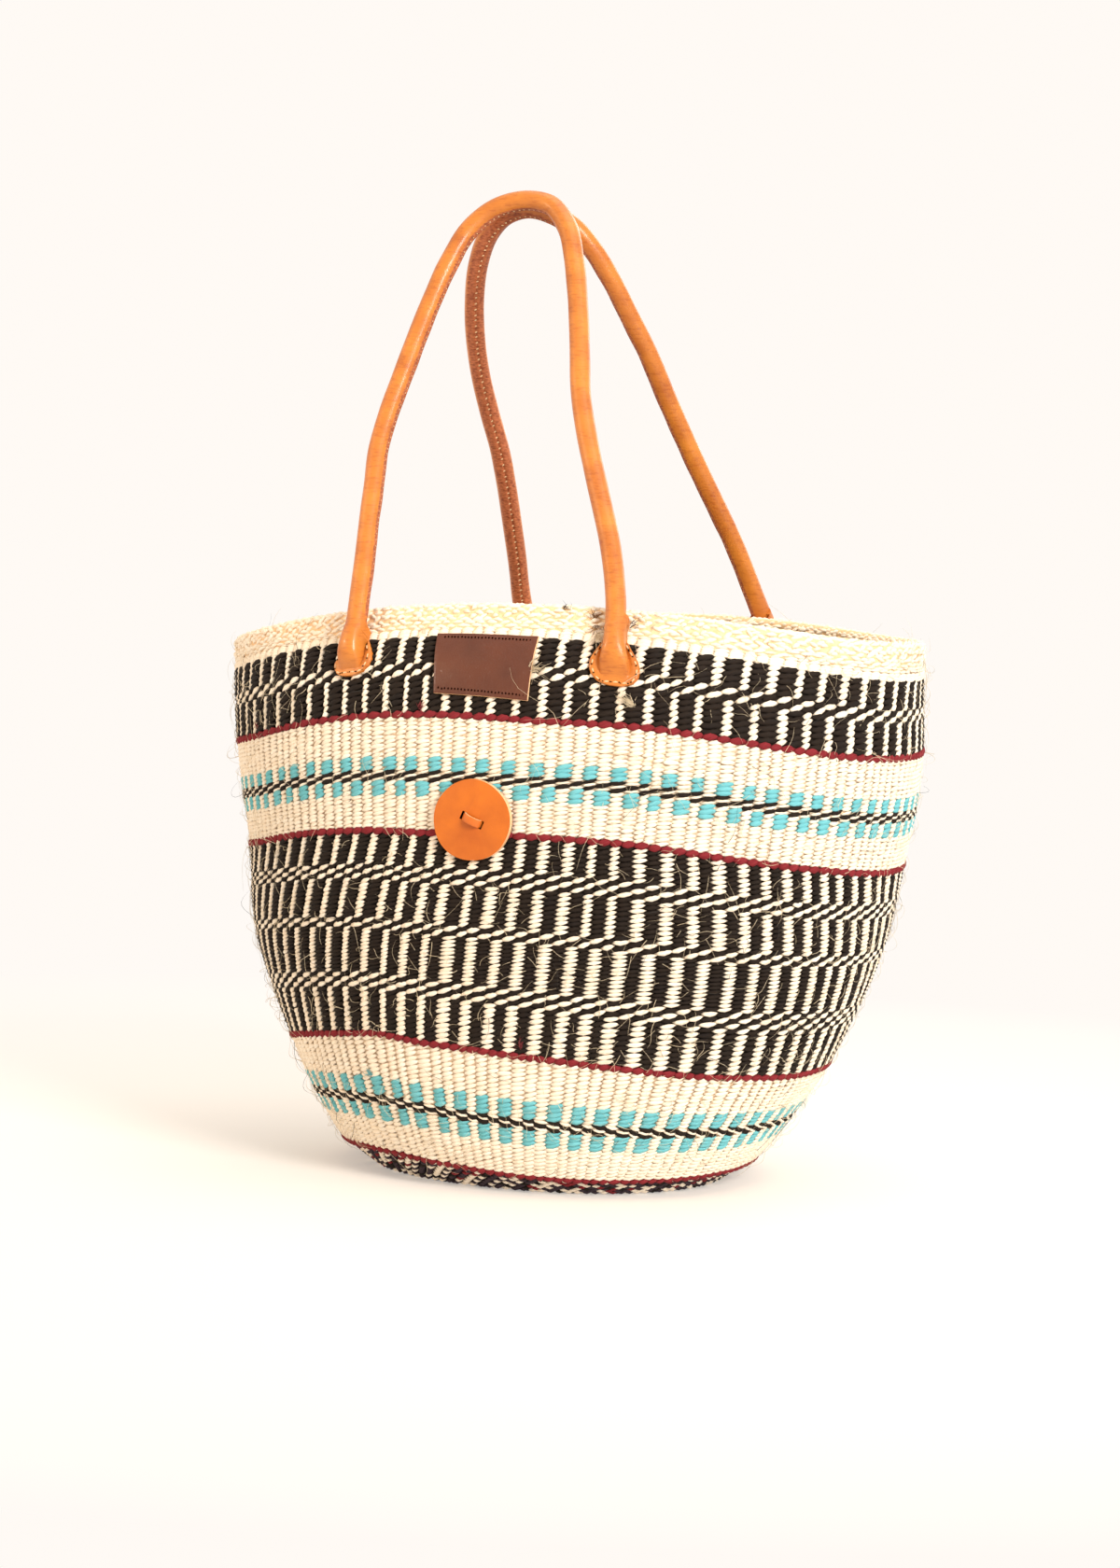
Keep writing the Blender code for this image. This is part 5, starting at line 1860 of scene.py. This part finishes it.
class KIONDO_OT_stage(bpy.types.Operator):
    """Set the floor, the lights and the camera"""
    bl_idname = "kiondo.stage"
    bl_label = "Stage"

    def execute(self, context):
        self.floor()
        self.world(context)
        self.lamps()
        self.camera(context)
        context.scene.view_settings.view_transform = "Standard"
        return {"FINISHED"}

    def floor(self):
        """A pale floor that melts into the backdrop away from the basket."""
        floor = add_primitive("studio_floor", bpy.ops.mesh.primitive_plane_add, size=40)
        material, tree, shader = new_material("studio_floor")
        fill(tree, shader, {"Base Color": (0.93, 0.88, 0.82, 1), "Roughness": 0.9,
                            "Specular IOR Level": 0.1})
        reach = add_node(tree, "VectorMath", {0: object_place(tree)}, operation="LENGTH")
        glow = add_node(tree, "Emission", {"Color": BACKDROP})
        melt = span(tree, reach.outputs["Value"], 0.25, 0.85, 0.32, 1.0)
        blend = add_node(tree, "MixShader", {0: melt, 1: shader.outputs[0], 2: glow.outputs[0]})
        fill(tree, tree.nodes["Material Output"], {"Surface": blend.outputs[0]})
        floor.data.materials.append(material)

    def world(self, context):
        """A backdrop that looks paler than the light it gives."""
        world = bpy.data.worlds.new("studio")
        context.scene.world = world
        world.use_nodes = True
        tree = world.node_tree
        rays = add_node(tree, "LightPath").outputs
        mirrored = maths(tree, "MAXIMUM", rays["Is Glossy Ray"], rays["Is Transmission Ray"])
        seen = maths(tree, "MAXIMUM", rays["Is Camera Ray"], mirrored)
        colour = mix_colour(tree, seen, (0.72, 0.66, 0.59, 1), BACKDROP)
        fill(tree, tree.nodes["Background"], {"Color": colour})

    def lamps(self):
        lamps = (
            ("key", (2.3, -1.7, 1.5), 1.1, 104.0, (1.0, 0.96, 0.91)),
            ("fill", (-2.4, -1.8, 1.2), 2.0, 25.0, (1.0, 0.61, 0.22)),
            ("top", (0.3, 0.2, 2.6), 2.0, 24.0, (1.0, 0.97, 0.92)),
            ("back", (0.2, 2.4, 1.3), 1.6, 18.0, (1.0, 0.96, 0.92)),
        )
        for name, spot, size, power, colour in lamps:
            lamp = self.lamp(name, "AREA", spot, (0, 0, 0.2), power, colour)
            lamp.shape = "SQUARE"
            lamp.size = size
        # A soft spot over the near rim, onto the far side's inner face
        lamp = self.lamp("mouth", "SPOT", (-0.90, -0.75, 0.75), (0.12, 0.04, 0.29), 26.0,
                         (1.0, 0.93, 0.84))
        lamp.spot_size = math.radians(13)
        lamp.spot_blend = 0.7
        lamp.shadow_soft_size = 0.12

    def lamp(self, name, kind, spot, target, power, colour):
        """Hang up one lamp that looks at a target."""
        lamp = bpy.data.lights.new(name + "_light", kind)
        lamp.energy = power
        lamp.color = colour
        holder = add_object(name + "_light", lamp)
        holder.location = spot
        aim = Vector(target) - Vector(spot)
        holder.rotation_euler = aim.to_track_quat("-Z", "Y").to_euler()
        return lamp

    def camera(self, context):
        stage = context.scene.stage_settings
        turn, pitch, roll = stage.azimuth, stage.pitch, stage.roll
        ahead = Vector((-math.sin(turn), math.cos(turn), 0))
        right = Vector((math.cos(turn), math.sin(turn), 0))
        above = Vector((0, 0, 1))
        spot = -ahead * stage.distance + right * stage.aside + above * stage.height
        look = ahead * math.cos(pitch) + above * math.sin(pitch)
        head = above * math.cos(pitch) - ahead * math.sin(pitch)
        hand = right * math.cos(roll) + head * math.sin(roll)
        crown = head * math.cos(roll) - right * math.sin(roll)
        lens = bpy.data.cameras.new("camera")
        lens.lens = stage.focal
        lens.sensor_width = 36.0
        lens.clip_end = 100.0
        camera = add_object("camera", lens)
        turned = Matrix((hand, crown, -look)).transposed().to_4x4()
        turned.translation = spot
        camera.matrix_world = turned
        context.scene.camera = camera


class KIONDO_PT_panel(bpy.types.Panel):
    """The basket's pieces, in the order in which they are made"""
    bl_idname = "KIONDO_PT_panel"
    bl_label = "Kiondo basket"
    bl_space_type = "VIEW_3D"
    bl_region_type = "UI"
    bl_category = "Kiondo"

    def draw(self, context):
        layout = self.layout
        for operator in OPERATORS:
            layout.operator(operator.bl_idname)
        for group, kind in (("basket_sizes", BasketSizes), ("basket_colours", BasketColours),
                            ("stage_settings", StageSettings)):
            box = layout.box()
            for name in kind.__annotations__:
                box.prop(getattr(context.scene, group), name)


OPERATORS = (KIONDO_OT_stage, KIONDO_OT_weave_base, KIONDO_OT_weave_wall, KIONDO_OT_red_rows,
             KIONDO_OT_braid_rim, KIONDO_OT_loose_fibres, KIONDO_OT_tufts,
             KIONDO_OT_handles, KIONDO_OT_label, KIONDO_OT_button)
GROUPS = (BasketSizes, BasketColours, StageSettings)


def register():
    for kind in GROUPS + OPERATORS + (KIONDO_PT_panel,):
        bpy.utils.register_class(kind)
    scene = bpy.types.Scene
    scene.basket_sizes = bpy.props.PointerProperty(type=BasketSizes)
    scene.basket_colours = bpy.props.PointerProperty(type=BasketColours)
    scene.stage_settings = bpy.props.PointerProperty(type=StageSettings)


def unregister():
    scene = bpy.types.Scene
    del scene.basket_sizes, scene.basket_colours, scene.stage_settings
    for kind in reversed(GROUPS + OPERATORS + (KIONDO_PT_panel,)):
        bpy.utils.unregister_class(kind)


def main():
    register()
    for operator in OPERATORS:
        group, name = operator.bl_idname.split(".")
        getattr(getattr(bpy.ops, group), name)()


if __name__ == "__main__":
    main()
